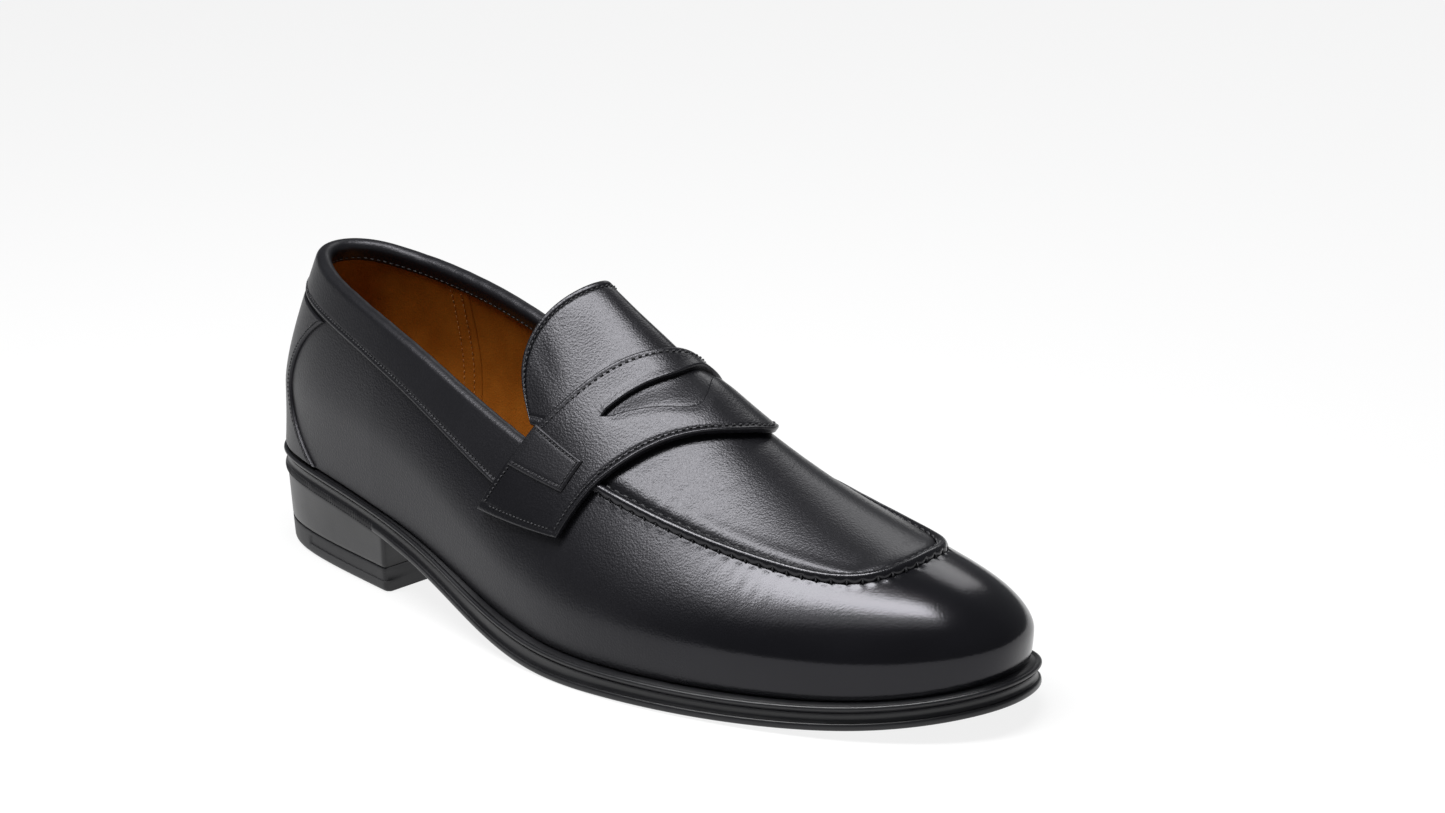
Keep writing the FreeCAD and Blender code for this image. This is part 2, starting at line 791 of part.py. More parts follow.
def make_strap_backing():
    back = shifted(strap_back, strap_front, 2.0)
    front = shifted(strap_front, strap_back, 2.0)
    return bridge(back, front, STRAP_LOW - GAP, GAP, 33, 7, strap_q(-0.58), strap_q(0.56))


def quad(corners, outer, inner):
    tl, r, b, l = corners
    top = []
    bottom = []
    for s in spread(0.0, 1.0, 9):
        g1 = tl[0] + (r[0] - tl[0]) * s
        c1 = tl[1] + (r[1] - tl[1]) * s
        g2 = l[0] + (b[0] - l[0]) * s
        c2 = l[1] + (b[1] - l[1]) * s
        pairs = [(g1 + (g2 - g1) * t, c1 + (c2 - c1) * t) for t in spread(0.0, 1.0, 7)]
        top.append([across(g, c, outer) for g, c in pairs])
        bottom.append([across(g, c, inner) for g, c in pairs])
    return solid_between(top, bottom)


def make_tab(corners):
    low = STRAP_LOW + STRAP + GAP
    return quad(corners, low + TAB, low)


def tongue_front(q):
    """The strap's back edge, where it borders the tongue."""
    a = strap_q(-0.672)
    b = strap_q(0.672)
    return strap_back(a + (b - a) * q)


def tongue_back(q):
    return smooth_pair(TONGUE_BACK, q)


def make_tongue(outer, inner, trim):
    front = shifted(tongue_front, tongue_back, HINGE_GAP + trim)
    back = shifted(tongue_back, tongue_front, trim)
    return bridge(back, front, outer, inner, 41, 9)


def root_front(q):
    g, c = tongue_front(q)
    bow = 1 - (c / 0.68) ** 2
    return 5.88 + 0.17 * bow, c * 0.95


def make_tongue_root():
    return bridge(shifted(tongue_front, root_front, 0.8), root_front, 0.0, -LEATHER, 33, 5,
                  0.04, 0.96)


# ---- output -----------------------------------------------------------------------------
def finish(name, shape):
    shape = shape.copy()
    shape.translate(V(-FOOTPRINT_MID[0], -FOOTPRINT_MID[1], 0))
    if shape.ShapeType != "Solid" and len(shape.Solids) == 1:
        shape = shape.Solids[0]
    box = shape.BoundBox
    print(name, shape.isValid(), len(shape.Solids), round(shape.Volume, 1),
          [round(b, 2) for b in (box.XMin, box.XMax, box.YMin, box.YMax, box.ZMin, box.ZMax)])
    shape.exportStep("parts/" + name + ".step")


def main():
    block, lift, nails = make_heel_parts()
    outsole = make_outsole()
    midsole = make_midsole()
    for n in nails:
        block = block.cut(n)
        outsole = outsole.cut(n)
    finish("outsole", outsole)
    finish("midsole", midsole)
    finish("welt", make_welt())
    finish("heel_block", block)
    finish("heel_top_lift", lift)
    for i, n in enumerate(nails):
        finish("heel_nail_" + str(i + 1), n)
    finish("shank", make_shank())
    filler_inset = 8.3
    filler = plate(filler_inset, lambda x: flat_top(x) - WELT_DROP + GAP,
                   lambda x: flat_top(x) - 0.1, 156.0, 315.0)
    finish("bottom_filler", filler)
    finish("insole_board", plate(inner_inset, lambda x: flat_top(x) + 0.6,
                                 lambda x: flat_top(x) + 2.6))
    finish("footbed_foam", plate(inner_inset, lambda x: flat_top(x) + 2.7,
                                 lambda x: flat_top(x) + 4.2))
    finish("sock_liner", plate(inner_inset, lambda x: flat_top(x) + 4.3,
                               lambda x: flat_top(x) + 5.2))
    finish("side_wall", make_side_wall())
    finish("backstay", make_backstay())
    finish("heel_counter", make_heel_counter())
    finish("toe_puff", make_toe_puff())
    finish("collar", make_collar())
    finish("collar_cord", make_collar_cord())
    finish("moc_seam", make_moc_seam())
    finish("apron", make_apron())
    finish("apron_lining", make_apron_lining())
    finish("saddle_strap", make_saddle_strap())
    finish("strap_backing", make_strap_backing())
    finish("strap_tab_outer", make_tab(TAB_OUT))
    finish("strap_tab_inner", make_tab(TAB_IN))
    finish("tongue_root", make_tongue_root())
    finish("tongue", make_tongue(0.0, -LEATHER, 0.0))
    finish("tongue_lining", make_tongue(-LEATHER - GAP, -LEATHER - GAP - LINING, 0.6))
    finish("heel_lining", lining_piece(-2.6, 2.6, 37))
    finish("quarter_lining_outer", lining_piece(2.62, 5.78, 25))
    finish("quarter_lining_inner", lining_piece(20 - 5.78, 20 - 2.62, 25))
    finish("vamp_lining", lining_piece(5.8, 14.2, 61))


main()
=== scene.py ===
import math

import bmesh
import bpy
import numpy as np
from mathutils import Matrix, Quaternion, Vector


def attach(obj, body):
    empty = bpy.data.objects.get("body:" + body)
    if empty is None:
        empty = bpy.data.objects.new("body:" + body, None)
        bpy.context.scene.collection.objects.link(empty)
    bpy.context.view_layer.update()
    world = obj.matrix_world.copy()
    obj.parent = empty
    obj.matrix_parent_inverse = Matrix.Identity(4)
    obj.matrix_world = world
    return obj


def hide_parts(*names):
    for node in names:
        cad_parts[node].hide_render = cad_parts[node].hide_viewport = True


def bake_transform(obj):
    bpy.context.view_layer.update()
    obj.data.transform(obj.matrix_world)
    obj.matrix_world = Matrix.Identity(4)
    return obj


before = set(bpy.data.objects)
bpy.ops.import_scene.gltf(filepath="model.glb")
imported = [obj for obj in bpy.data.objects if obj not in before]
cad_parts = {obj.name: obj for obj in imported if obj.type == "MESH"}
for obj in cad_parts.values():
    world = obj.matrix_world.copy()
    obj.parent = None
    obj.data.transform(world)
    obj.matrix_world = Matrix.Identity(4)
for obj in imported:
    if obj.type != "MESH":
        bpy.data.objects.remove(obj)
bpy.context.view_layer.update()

# Penny loafer, right shoe. The shape functions work in millimetres, in a last frame
# whose x = 0 is close to the back of the heel. build() moves points to the part's own
# frame, in metres.
SHIFT = np.array([149.5, -4.5, 0.0])
SOLE = np.array([
    (-3.5, 4.5), (2, -9.5), (13.5, -21), (37, -29), (72, -36), (110, -44), (147, -54.5),
    (182, -58.5), (213, -55), (243, -47.5), (270, -36.5), (291, -21), (301, -5.5),
    (301.5, 8.5), (297, 22), (287, 33), (267, 41), (240, 47), (213, 49.5), (184, 44.5),
    (150, 32.5), (112, 27), (72, 32.5), (37, 37.5), (12, 30), (0, 18)], float)
UNDERSIDE = [25.5, 24.9, 22.3, 17.0, 6.3, -0.5, 0.3, 0.4, 1.5, 4.0, 11.5]
UNDERSIDE_STEP = 31.5
CREST = [150, 151, 145, 125, 105, 81.5, 60.5, 48, 37, 28]
CENTRE = [3.5, 3.5, 3, 3.5, 4.5, 3.5, 3.5, 4.5, 6, 8]
CREST_STEP = 36.0
TURN = [0, 40, 76, 91, 90, 90, 91, 97, 113, 141, 180]
FOOT_X = [36, 36, 40, 68, 104, 140, 174, 203, 223, 233, 235]
BULGE_OUT = [-0.8, -0.8, 0.0, 0.8, 1.2, 1.2, 1.2, 1.2, 1.2, 1.0, 0.8]
BULGE_IN = [-0.8, -0.8, 0.5, 3.5, 6.0, 5.0, 2.5, 1.2, 1.2, 1.0, 0.8]
WIDEST_OUT = [20, 20, 22, 24, 22, 16, 13, 12, 11, 10, 9]
WIDEST_IN = [20, 20, 22, 26, 26, 20, 15, 12, 11, 10, 9]
TAPER = [0.78, 0.76, 0.66, 0.60, 0.57, 0.53, 0.46, 0.39, 0.31, 0.25, 0.23]
ROUND = [1.8, 1.8, 2.0, 2.2, 2.5, 2.5, 2.4, 2.3, 2.2, 2.2, 2.2]
EDGE_OUT = [0.285, 0.285, 0.25, 0.218, 0.228, 0.273, 0.322, 0.362, 0.40, 0.41, 0.66]
EDGE_IN = [0.285, 0.285, 0.25, 0.218, 0.228, 0.273, 0.328, 0.38, 0.415, 0.45, 0.66]
BAND_LOW = [0.20, 0.19, 0.165, 0.13, 0.12, 0.143, 0.16]
STRAP_BACK = [
    (4.76, -0.925), (4.93, -0.81), (5.11, -0.685), (5.27, -0.565), (5.50, -0.36),
    (5.71, -0.15), (5.86, 0.06), (5.86, 0.26), (5.72, 0.46), (5.50, 0.62), (5.22, 0.76),
    (4.98, 0.90)]
STRAP_FRONT = [
    (5.74, -0.85), (5.82, -0.765), (5.90, -0.69), (6.03, -0.61), (6.31, -0.43),
    (6.62, -0.24), (6.98, -0.02), (6.97, 0.18), (6.68, 0.38), (6.36, 0.56), (6.12, 0.70),
    (6.00, 0.83)]
TONGUE_BACK = [
    (5.00, -0.69), (4.64, -0.62), (4.64, -0.46), (4.87, -0.22), (4.97, 0.02),
    (4.90, 0.26), (4.76, 0.47), (4.84, 0.62), (5.16, 0.69)]
SLOT_TOP = [(5.65, -0.52), (5.78, -0.39), (5.91, -0.26), (6.02, -0.14), (6.05, 0.0),
            (6.03, 0.14), (6.07, 0.30), (5.97, 0.45)]
SLOT_LIP = [(5.68, -0.52), (5.91, -0.41), (6.13, -0.30), (6.43, -0.17), (6.24, -0.01),
            (6.14, 0.14), (6.17, 0.30), (6.00, 0.45)]
TAB_OUT = [(5.11, -0.672), (5.71, -0.656), (5.63, -0.756), (4.97, -0.799)]
TAB_IN = [(5.31, 0.66), (5.91, 0.645), (5.83, 0.75), (5.17, 0.79)]
BACKSTAY_HALF = [2.0, 1.3, 1.15, 1.4, 2.0]
BREAST_X = 76.0
BREAST_LEAN = 0.06
LIFT = 8.7
UPPER = 1.2                # thickness of the upper leather
STRAP_LOW = 1.35           # strap's underside above the last
STRAP_THICK = 1.6
LINING_LOW = -3.0          # inner face of the lining, measured from the last
LINING_THICK = 0.8


# ---- smooth functions of poles, on arrays -------------------------------------------
def blend4(a, b, c, d, t):
    """Uniform cubic B-spline between four poles."""
    s = 1.0 - t
    return (a * s ** 3 + b * (3 * t ** 3 - 6 * t * t + 4)
            + c * (3 * s ** 3 - 6 * s * s + 4) + d * t ** 3) / 6.0


def spline(poles, u, before, after):
    ext = np.concatenate([[before], poles, [after]])
    n = len(poles) - 1
    u = np.clip(np.asarray(u, float), 0, n)
    i = np.minimum(u.astype(int), n - 1)
    return blend4(ext[i], ext[i + 1], ext[i + 2], ext[i + 3], u - i)


def smooth(tab, u):
    t = np.asarray(tab, float)
    return spline(t, u, 2 * t[0] - t[1], 2 * t[-1] - t[-2])


def mirrored(tab, g, turn=0.0, sign=1.0):
    """Spline that is mirrored at both ends of the table."""
    t = np.asarray(tab, float)
    return spline(t, g, sign * t[1], turn + sign * t[-2])


def ring(tab, u):
    """Closed spline through the table."""
    t = np.asarray(tab, float)
    u = np.asarray(u, float)
    n = len(t)
    i = np.floor(u).astype(int)
    return blend4(t[(i - 1) % n], t[i % n], t[(i + 1) % n], t[(i + 2) % n], u - i)


def pair(tab, q):
    u = np.asarray(q, float) * (len(tab) - 1)
    return smooth([p[0] for p in tab], u), smooth([p[1] for p in tab], u)


def arrays(*values):
    """Float arrays broadcast to one shape."""
    return np.broadcast_arrays(*[np.asarray(t, float) for t in values])


def unit(a):
    return a / np.maximum(np.linalg.norm(a, axis=-1, keepdims=True), 1e-12)


def fade(x, lo, hi):
    """Smooth step from 0 at lo to 1 at hi."""
    t = np.clip((np.asarray(x, float) - lo) / (hi - lo), 0, 1)
    return t * t * (3 - 2 * t)


def ripple(a, b, seed, scale):
    """Smooth repeatable noise, about -1 to 1, from a few sine waves."""
    rng = np.random.RandomState(seed)
    out = 0.0
    for _ in range(9):
        ang = rng.uniform(0, math.tau)
        f = rng.uniform(0.6, 1.7) * math.tau / scale
        wave = math.cos(ang) * a + math.sin(ang) * b
        out = out + np.sin(f * wave + rng.uniform(0, math.tau))
    return out / 3.6


# ---- sole and last --------------------------------------------------------------------
def outline(u):
    return ring(SOLE[:, 0], u), ring(SOLE[:, 1], u)


def outline_inward(u):
    x1, y1 = outline(np.asarray(u, float) - 0.05)
    x2, y2 = outline(np.asarray(u, float) + 0.05)
    n = np.hypot(x2 - x1, y2 - y1)
    return -(y2 - y1) / n, (x2 - x1) / n


def underside(x):
    return smooth(UNDERSIDE, np.clip(x, 0, 303) / UNDERSIDE_STEP)


def topside(x):
    return underside(x) + 7.6 + 1.2 * np.exp(-((x - 140.0) / 45.0) ** 2)


def ledge(x):
    """Width of the welt outside the upper."""
    return 1.8 + 1.9 * np.clip((x - 70.0) / 80.0, 0, 1)


def centre_y(x):
    return smooth(CENTRE, x / CREST_STEP)


def crest_z(x):
    return smooth(CREST, x / CREST_STEP)


def bearing(g):
    """Direction in plan from the foot line out to station g, radians."""
    return np.radians(mirrored(TURN, g, 360.0, -1.0))


def reach_table(side):
    """Distance from the foot line to the sole's outline, for every station."""
    us = np.linspace(0, len(SOLE), 5201)
    ox, oy = outline(us)
    out = []
    for k in range(-2, 204):
        g = abs(k) / 20.0
        g = 20 - g if g > 10 else g
        f = math.radians(float(mirrored(TURN, g, 360.0, -1.0)))
        x, y = float(mirrored(FOOT_X, g)), float(centre_y(mirrored(FOOT_X, g)))
        s = side if 0 <= k <= 200 else -side
        dx, dy = -math.cos(f), s * math.sin(f)
        c = dx * (oy - y) - dy * (ox - x)
        d = dx * (ox - x) + dy * (oy - y)
        hit = np.nonzero((c[:-1] * c[1:] <= 0) & (d[:-1] > 0))[0][-1]
        t = c[hit] / (c[hit] - c[hit + 1])
        out.append(d[hit] + (d[hit + 1] - d[hit]) * t)
    return np.array(out)


REACH = np.stack([reach_table(-1), reach_table(1)])


def reach(g, side):
    u = g * 20.0 + 2
    i = np.clip(u.astype(int), 1, REACH.shape[1] - 3)
    row = (side > 0).astype(int)
    a, b, c, d = (REACH[row, i + k] for k in (-1, 0, 1, 2))
    t = u - i
    return b + 0.5 * t * (c - a + t * (2 * a - 5 * b + 4 * c - d + t * (3 * (b - c) + d - a)))


def round_shoe(outer, inner, w):
    return ring(list(outer) + list(inner[-2:0:-1]), w)


def section(w):
    """Feather edge, widest line and crest of the last at ring position w."""
    key = np.mod(np.asarray(w, float), 20.0)
    side = np.where(key <= 10, -1.0, 1.0)
    g = np.where(key <= 10, key, 20 - key)
    f = bearing(g)
    x = mirrored(FOOT_X, g)
    y = centre_y(x)
    dx, dy = -np.cos(f), side * np.sin(f)
    edge = reach(g, side)
    r_low = edge - ledge(x + edge * dx)
    z_low = topside(x + r_low * dx) + 0.8
    r_wide = r_low + round_shoe(BULGE_OUT, BULGE_IN, key)
    z_wide = z_low + round_shoe(WIDEST_OUT, WIDEST_IN, key)
    slope = (crest_z(x + 1) - crest_z(x - 1)) / 2.0
    return (x, y, dx, dy, r_low, z_low, r_wide, z_wide, mirrored(TAPER, g),
            mirrored(ROUND, g), crest_z(x), slope)


def last(w, v):
    """Surface of the last, arrays w and v of one shape."""
    w, v = arrays(w, v)
    x, y, dx, dy, r_low, z_low, r_wide, z_wide, taper, power, z_top, slope = section(w)
    u = np.clip(1 - (1 - v) ** 2, 0, 1)
    k = (1 - taper * u * u * 1.18 / (u + 0.18)) * np.sqrt(np.maximum(0.0, 1 - u ** power))
    up_r = r_wide * k
    up_z = z_wide + (z_top - z_wide) * u + slope * dx * up_r * (1 - k) ** 1.5
    low_r = r_wide - (r_wide - r_low) * v * v
    low_z = z_wide + (z_wide - z_low) * v
    r = np.where(v <= 0, low_r, up_r)
    z = np.where(v <= 0, low_z, up_z)
    return np.stack([x + dx * r, y + dy * r, z], -1)


def frame_at(w, v):
    """Point, upward direction and outward normal."""
    p = last(w, v)
    dw = last(w + 0.02, v) - last(w - 0.02, v)
    dv = last(w, np.minimum(v + 0.01, 0.999)) - last(w, np.maximum(v - 0.01, -1.0))
    return p, unit(dv), unit(np.cross(dw, dv))


def skin(w, v, off):
    w, v, off = arrays(w, v, off)
    p, _, n = frame_at(w, v)
    return p + n * off[..., None]


def across(g, c, off):
    """Point over the instep: station g, c from -1 outer through 0 crest to 1 inner."""
    g, c, off = arrays(g, c, off)

    def bare(a, b):
        return last(np.where(b < 0, a, 20 - a), 1 - np.abs(b))
    p = bare(g, c)
    n = unit(np.cross(bare(g + 0.02, c) - bare(g - 0.02, c),
                      bare(g, c + 0.01) - bare(g, c - 0.01)))
    return p + n * off[..., None]


def edge_v(w):
    """Height of the collar's top edge, and further forward of the moccasin seam."""
    return round_shoe(EDGE_OUT, EDGE_IN, np.mod(w, 20.0))


def below_edge(w, s):
    """Height s mm below that edge."""
    v = edge_v(w)
    rate = np.linalg.norm(last(w, v) - last(w, v - 0.02), axis=-1) / 0.02
    return v - s / rate


def half_w(w):
    k = np.mod(np.asarray(w, float), 20.0)
    return np.where(k <= 10, k, 20 - k)


def band_v(w):
    return smooth(BAND_LOW, np.minimum(half_w(w), 6.0))


def lengths(p, axis):
    d = np.linalg.norm(np.diff(p, axis=axis), axis=-1)
    zero = np.zeros_like(np.take(d, [0], axis=axis))
    return np.concatenate([zero, np.cumsum(d, axis=axis)], axis=axis)


# ---- meshes -------------------------------------------------------------------------
def build(name, verts, faces, material, sharp=48.0, doubles=None):
    me = bpy.data.meshes.new(name)
    me.from_pydata(((np.asarray(verts) - SHIFT) * 0.001).tolist(), [], faces)
    bm = bmesh.new()
    bm.from_mesh(me)
    if doubles:
        bmesh.ops.remove_doubles(bm, verts=bm.verts, dist=doubles)
    bmesh.ops.recalc_face_normals(bm, faces=bm.faces)
    bm.to_mesh(me)
    bm.free()
    me.shade_smooth()
    me.set_sharp_from_angle(angle=math.radians(sharp))
    ob = bpy.data.objects.new(name, me)
    bpy.context.scene.collection.objects.link(ob)
    me.materials.append(material)
    return ob


def quads(nu, nv, wrap_u=False, wrap_v=False, base=0):
    i = np.arange(nu if wrap_u else nu - 1)
    j = np.arange(nv if wrap_v else nv - 1)
    a, b = np.meshgrid(i, j, indexing="ij")
    a2, b2 = (a + 1) % nu, (b + 1) % nv
    q = np.stack([a * nv + b, a2 * nv + b, a2 * nv + b2, a * nv + b2], -1)
    return (q.reshape(-1, 4) + base).tolist()


def strip(a, b, wrap=False):
    """Faces between two index lines."""
    n = len(a)
    count = n if wrap else n - 1
    return [[a[i], a[(i + 1) % n], b[(i + 1) % n], b[i]] for i in range(count)]


def shell(name, top, bottom, material, wrap_u=False):
    """Closed layer between two matching point grids."""
    nu, nv = top.shape[:2]
    n = nu * nv
    faces = quads(nu, nv, wrap_u) + quads(nu, nv, wrap_u, base=n)
    idx = np.arange(n).reshape(nu, nv)
    for line in (idx[:, 0], idx[:, -1]):
        faces += strip(line.tolist(), (line + n).tolist(), wrap_u)
    if not wrap_u:
        for line in (idx[0], idx[-1]):
            faces += strip(line.tolist(), (line + n).tolist())
    verts = np.concatenate([top.reshape(-1, 3), bottom.reshape(-1, 3)])
    return build(name, verts, faces, material)


def tube(name, loops, material, closed, sharp):
    """Closed-section sweep: loops is (stations, points, 3)."""
    nu, nv = loops.shape[:2]
    faces = quads(nu, nv, closed, True)
    if not closed:
        faces.append(list(range(nv)))
        faces.append(list(range((nu - 1) * nv, nu * nv)))
    return build(name, loops.reshape(-1, 3), faces, material, sharp)


FINE = [0.0, 0.12, 0.28, 0.5, 0.85, 1.3, 1.75, 2.05, 2.35, 2.65, 3.0, 3.6]


def edge_steps(length, n_mid, fine=FINE):
    """Positions 0 to 1 along a length in mm, close together near both ends."""
    near = np.array([f for f in fine if f < 0.42 * length])
    mid = np.linspace(near[-1], length - near[-1], n_mid + 2)[1:-1]
    return np.concatenate([near, mid, length - near[::-1]]) / length


def drop_round(d, r):
    """Drop of a rounded edge of radius r at distance d from it."""
    d = np.clip(d, 0, r)
    return r - np.sqrt(np.maximum(0.0, r * r - (r - d) ** 2))


def bump(d, centre, width):
    return np.exp(-((d - centre) / width) ** 2)


class Patch:
    """Layer over a four-sided piece of the surface, with rounded cut edges."""

    def __init__(self, surf, param, n_along, n_mid, fine=FINE):
        self.surf, self.param = surf, param
        a = np.linspace(0, 1, 61)
        ga, gb = np.meshgrid(a, a, indexing="ij")
        p = surf(*param(ga, gb), 0.0)
        self.along = lengths(p, 0)[-1]
        self.cross = lengths(p, 1)[:, -1]
        self.grid = a
        steps_a = edge_steps(float(self.along.mean()), n_along, fine)
        lb = np.interp(steps_a, a, self.cross)
        count = len(edge_steps(float(self.cross.mean()), n_mid, fine))
        rows = []
        for length in lb:
            near = (count - n_mid) // 2
            f = np.array(fine[:near]) * min(1.0, 0.42 * length / fine[near - 1])
            mid = np.linspace(f[-1], length - f[-1], n_mid + 2)[1:-1]
            rows.append(np.concatenate([f, mid, length - f[::-1]]) / length)
        self.b = np.array(rows)
        self.a = np.repeat(steps_a[:, None], self.b.shape[1], 1)
        la = np.interp(self.b, a, self.along)
        self.d_back = self.b * lb[:, None]
        self.d_front = (1 - self.b) * lb[:, None]
        self.d_start = self.a * la
        self.d_end = (1 - self.a) * la
        self.d = np.minimum(np.minimum(self.d_back, self.d_front),
                            np.minimum(self.d_start, self.d_end))

    def make(self, name, low, thick, material, radius, detail, edge=None):
        d = self.d if edge is None else edge
        off = low + thick + detail - drop_round(d, min(radius, thick * 0.8))
        s = self.param(self.a, self.b)
        return shell(name, self.surf(*s, off), self.surf(*s, low), material)

    def row(self, side, dist, off, lo, hi, n=400):
        """Line at a distance from one edge, with its normals."""
        t = np.linspace(lo, hi, n)
        if side in ("back", "front"):
            b = dist / np.interp(t, self.grid, self.cross)
            b = b if side == "back" else 1 - b
            s = self.param(t, b)
        else:
            a = dist / np.interp(t, self.grid, self.along)
            a = a if side == "start" else 1 - a
            s = self.param(a, t)
        p = self.surf(*s, off)
        return p, unit(self.surf(*s, off + 0.2) - p)

    def sew(self, group, row, *stitch, lift=0.0):
        """Stitches along a row; row and stitch are the arguments of those functions."""
        line, nrm = self.row(*row)
        stitches(group, line, nrm, *stitch, lift=lift)


THREADS = {}


def stitches(group, line, normal, pitch, length, radius, sink=0.35, lift=0.0):
    """Row of sewn stitches: each dives into the leather at both ends."""
    s = lengths(line, 0)
    total = s[-1]
    count = max(1, int(total / pitch))
    centre = (np.arange(count) + 0.5) * total / count
    ts = np.linspace(-1, 1, 7)
    sides = 7
    pos = centre[:, None] + ts[None, :] * length / 2
    p = np.stack([np.interp(pos, s, line[:, k]) for k in range(3)], -1)
    n = unit(np.stack([np.interp(pos, s, normal[:, k]) for k in range(3)], -1))
    t = unit(np.gradient(p, axis=1))
    side = unit(np.cross(n, t))
    height = lift + radius * (0.75 - sink * 4.2 * ts ** 4)
    p = p + n * height[None, :, None]
    r = radius * np.sqrt(np.maximum(0.02, 1 - np.abs(ts) ** 5 * 0.97))
    ang = np.arange(sides) * math.tau / sides
    ringp = (p[:, :, None, :] + r[None, :, None, None] * (
        side[:, :, None, :] * np.cos(ang)[None, None, :, None]
        + n[:, :, None, :] * np.sin(ang)[None, None, :, None]))
    THREADS.setdefault(group, []).append(ringp)


def make_threads(name, group, material):
    verts, faces, base = [], [], 0
    for block in THREADS[group]:
        count, nt, ns = block.shape[:3]
        for _ in range(count):
            faces += quads(nt, ns, False, True, base)
            faces.append([base + i for i in range(ns)])
            faces.append([base + (nt - 1) * ns + i for i in range(ns)])
            base += nt * ns
        verts.append(block.reshape(-1, 3))
    return build(name, np.concatenate(verts), faces, material, 80)


# ---- materials ------------------------------------------------------------------------
def material(name, color, rough, coat=0.0, coat_rough=0.1, spec=0.5, metal=0.0):
    m = bpy.data.materials.new(name)
    m.use_nodes = True
    b = m.node_tree.nodes["Principled BSDF"]
    values = {"Base Color": (*color, 1), "Roughness": rough, "Coat Weight": coat,
              "Coat Roughness": coat_rough, "Specular IOR Level": spec, "Metallic": metal}
    for key, value in values.items():
        b.inputs[key].default_value = value
    return m, m.node_tree, b


def node(tree, kind, **values):
    n = tree.nodes.new(kind)
    for k, v in values.items():
        if k in n.inputs:
            n.inputs[k].default_value = v
        else:
            setattr(n, k, v)
    return n


def coords(tree, scale=(1, 1, 1)):
    tc = tree.nodes.new("ShaderNodeTexCoord")
    mp = node(tree, "ShaderNodeMapping", Scale=scale)
    tree.links.new(tc.outputs["Object"], mp.inputs["Vector"])
    return mp.outputs["Vector"]


def mix_color(tree, fac, a, b):
    n = tree.nodes.new("ShaderNodeMix")
    n.data_type = "RGBA"
    n.inputs["A"].default_value = (*a, 1)
    n.inputs["B"].default_value = (*b, 1)
    tree.links.new(fac, n.inputs["Factor"])
    return n.outputs["Result"]


def remap(tree, src, a, b, lo, hi):
    limits = {"From Min": a, "From Max": b, "To Min": lo, "To Max": hi}
    n = node(tree, "ShaderNodeMapRange", **limits)
    tree.links.new(src, n.inputs["Value"])
    return n.outputs["Result"]


def bumps(tree, b, layers):
    """layers: (height output, strength, distance), stacked."""
    prev = None
    for h, strength, dist in layers:
        n = node(tree, "ShaderNodeBump", Strength=strength, Distance=dist)
        tree.links.new(h, n.inputs["Height"])
        if prev is not None:
            tree.links.new(prev, n.inputs["Normal"])
        prev = n.outputs["Normal"]
    tree.links.new(prev, b.inputs["Normal"])
    if "Coat Normal" in b.inputs:
        tree.links.new(prev, b.inputs["Coat Normal"])


def texture(tree, kind, vector, **values):
    n = node(tree, kind, **values)
    tree.links.new(vector, n.inputs["Vector"])
    return n


def tint(tree, b, source, lo, hi, dark, light):
    """Base colour that wanders between two tones."""
    mixed = mix_color(tree, remap(tree, source, lo, hi, 0, 1), dark, light)
    tree.links.new(mixed, b.inputs["Base Color"])


def scaled(tree, source, gain):
    n = node(tree, "ShaderNodeMath", operation="MULTIPLY")
    tree.links.new(source, n.inputs[0])
    tree.links.new(gain, n.inputs[1])
    return n.outputs["Value"]


def polished(tree, polish, rough, cell, wrinkle):
    """Towards the toe the leather gets smoother and its grain shallower."""
    x0, x1, smooth_rough = polish
    where = tree.nodes.new("ShaderNodeTexCoord")
    sep = texture(tree, "ShaderNodeSeparateXYZ", where.outputs["Object"])
    fac = node(tree, "ShaderNodeMapRange", interpolation_type="SMOOTHSTEP",
               **{"From Min": x0, "From Max": x1})
    tree.links.new(sep.outputs["X"], fac.inputs["Value"])
    mixed = tree.nodes.new("ShaderNodeMix")
    mixed.data_type = "FLOAT"
    tree.links.new(fac.outputs["Result"], mixed.inputs["Factor"])
    tree.links.new(rough, mixed.inputs["A"])
    mixed.inputs["B"].default_value = smooth_rough
    gain = remap(tree, fac.outputs["Result"], 0, 1, 1.0, 0.22)
    return mixed.outputs["Result"], scaled(tree, cell, gain), scaled(tree, wrinkle, gain)


def leather(name, dark, light, rough, grain, pore, coat, coat_rough, polish=None, spec=0.36):
    m, t, b = material(name, dark, rough, coat, coat_rough, spec)
    b.inputs["Specular Tint"].default_value = (0.93, 0.92, 1.0, 1)
    v = coords(t)
    noise = "ShaderNodeTexNoise"
    pores = texture(t, "ShaderNodeTexVoronoi", v, feature="SMOOTH_F1", Scale=1500.0,
                    Smoothness=0.5)
    fine = texture(t, noise, v, Scale=1500.0, Detail=3.0, Roughness=0.6)
    wide = texture(t, noise, v, Scale=55.0, Detail=4.0, Roughness=0.55)
    folds = texture(t, noise, coords(t, (520, 300, 900)), Scale=1.0, Detail=3.0,
                    Roughness=0.5, Distortion=0.4)
    tint(t, b, wide.outputs["Fac"], 0.3, 0.7, dark, light)
    r = remap(t, fine.outputs["Fac"], 0.25, 0.75, rough - 0.04, rough + 0.05)
    cell, wrinkle = pores.outputs["Distance"], folds.outputs["Fac"]
    if polish:
        r, cell, wrinkle = polished(t, polish, r, cell, wrinkle)
    t.links.new(r, b.inputs["Roughness"])
    bumps(t, b, [(wrinkle, grain, 0.0006), (cell, pore, 0.0002),
                 (fine.outputs["Fac"], pore * 0.5, 0.0001)])
    return m


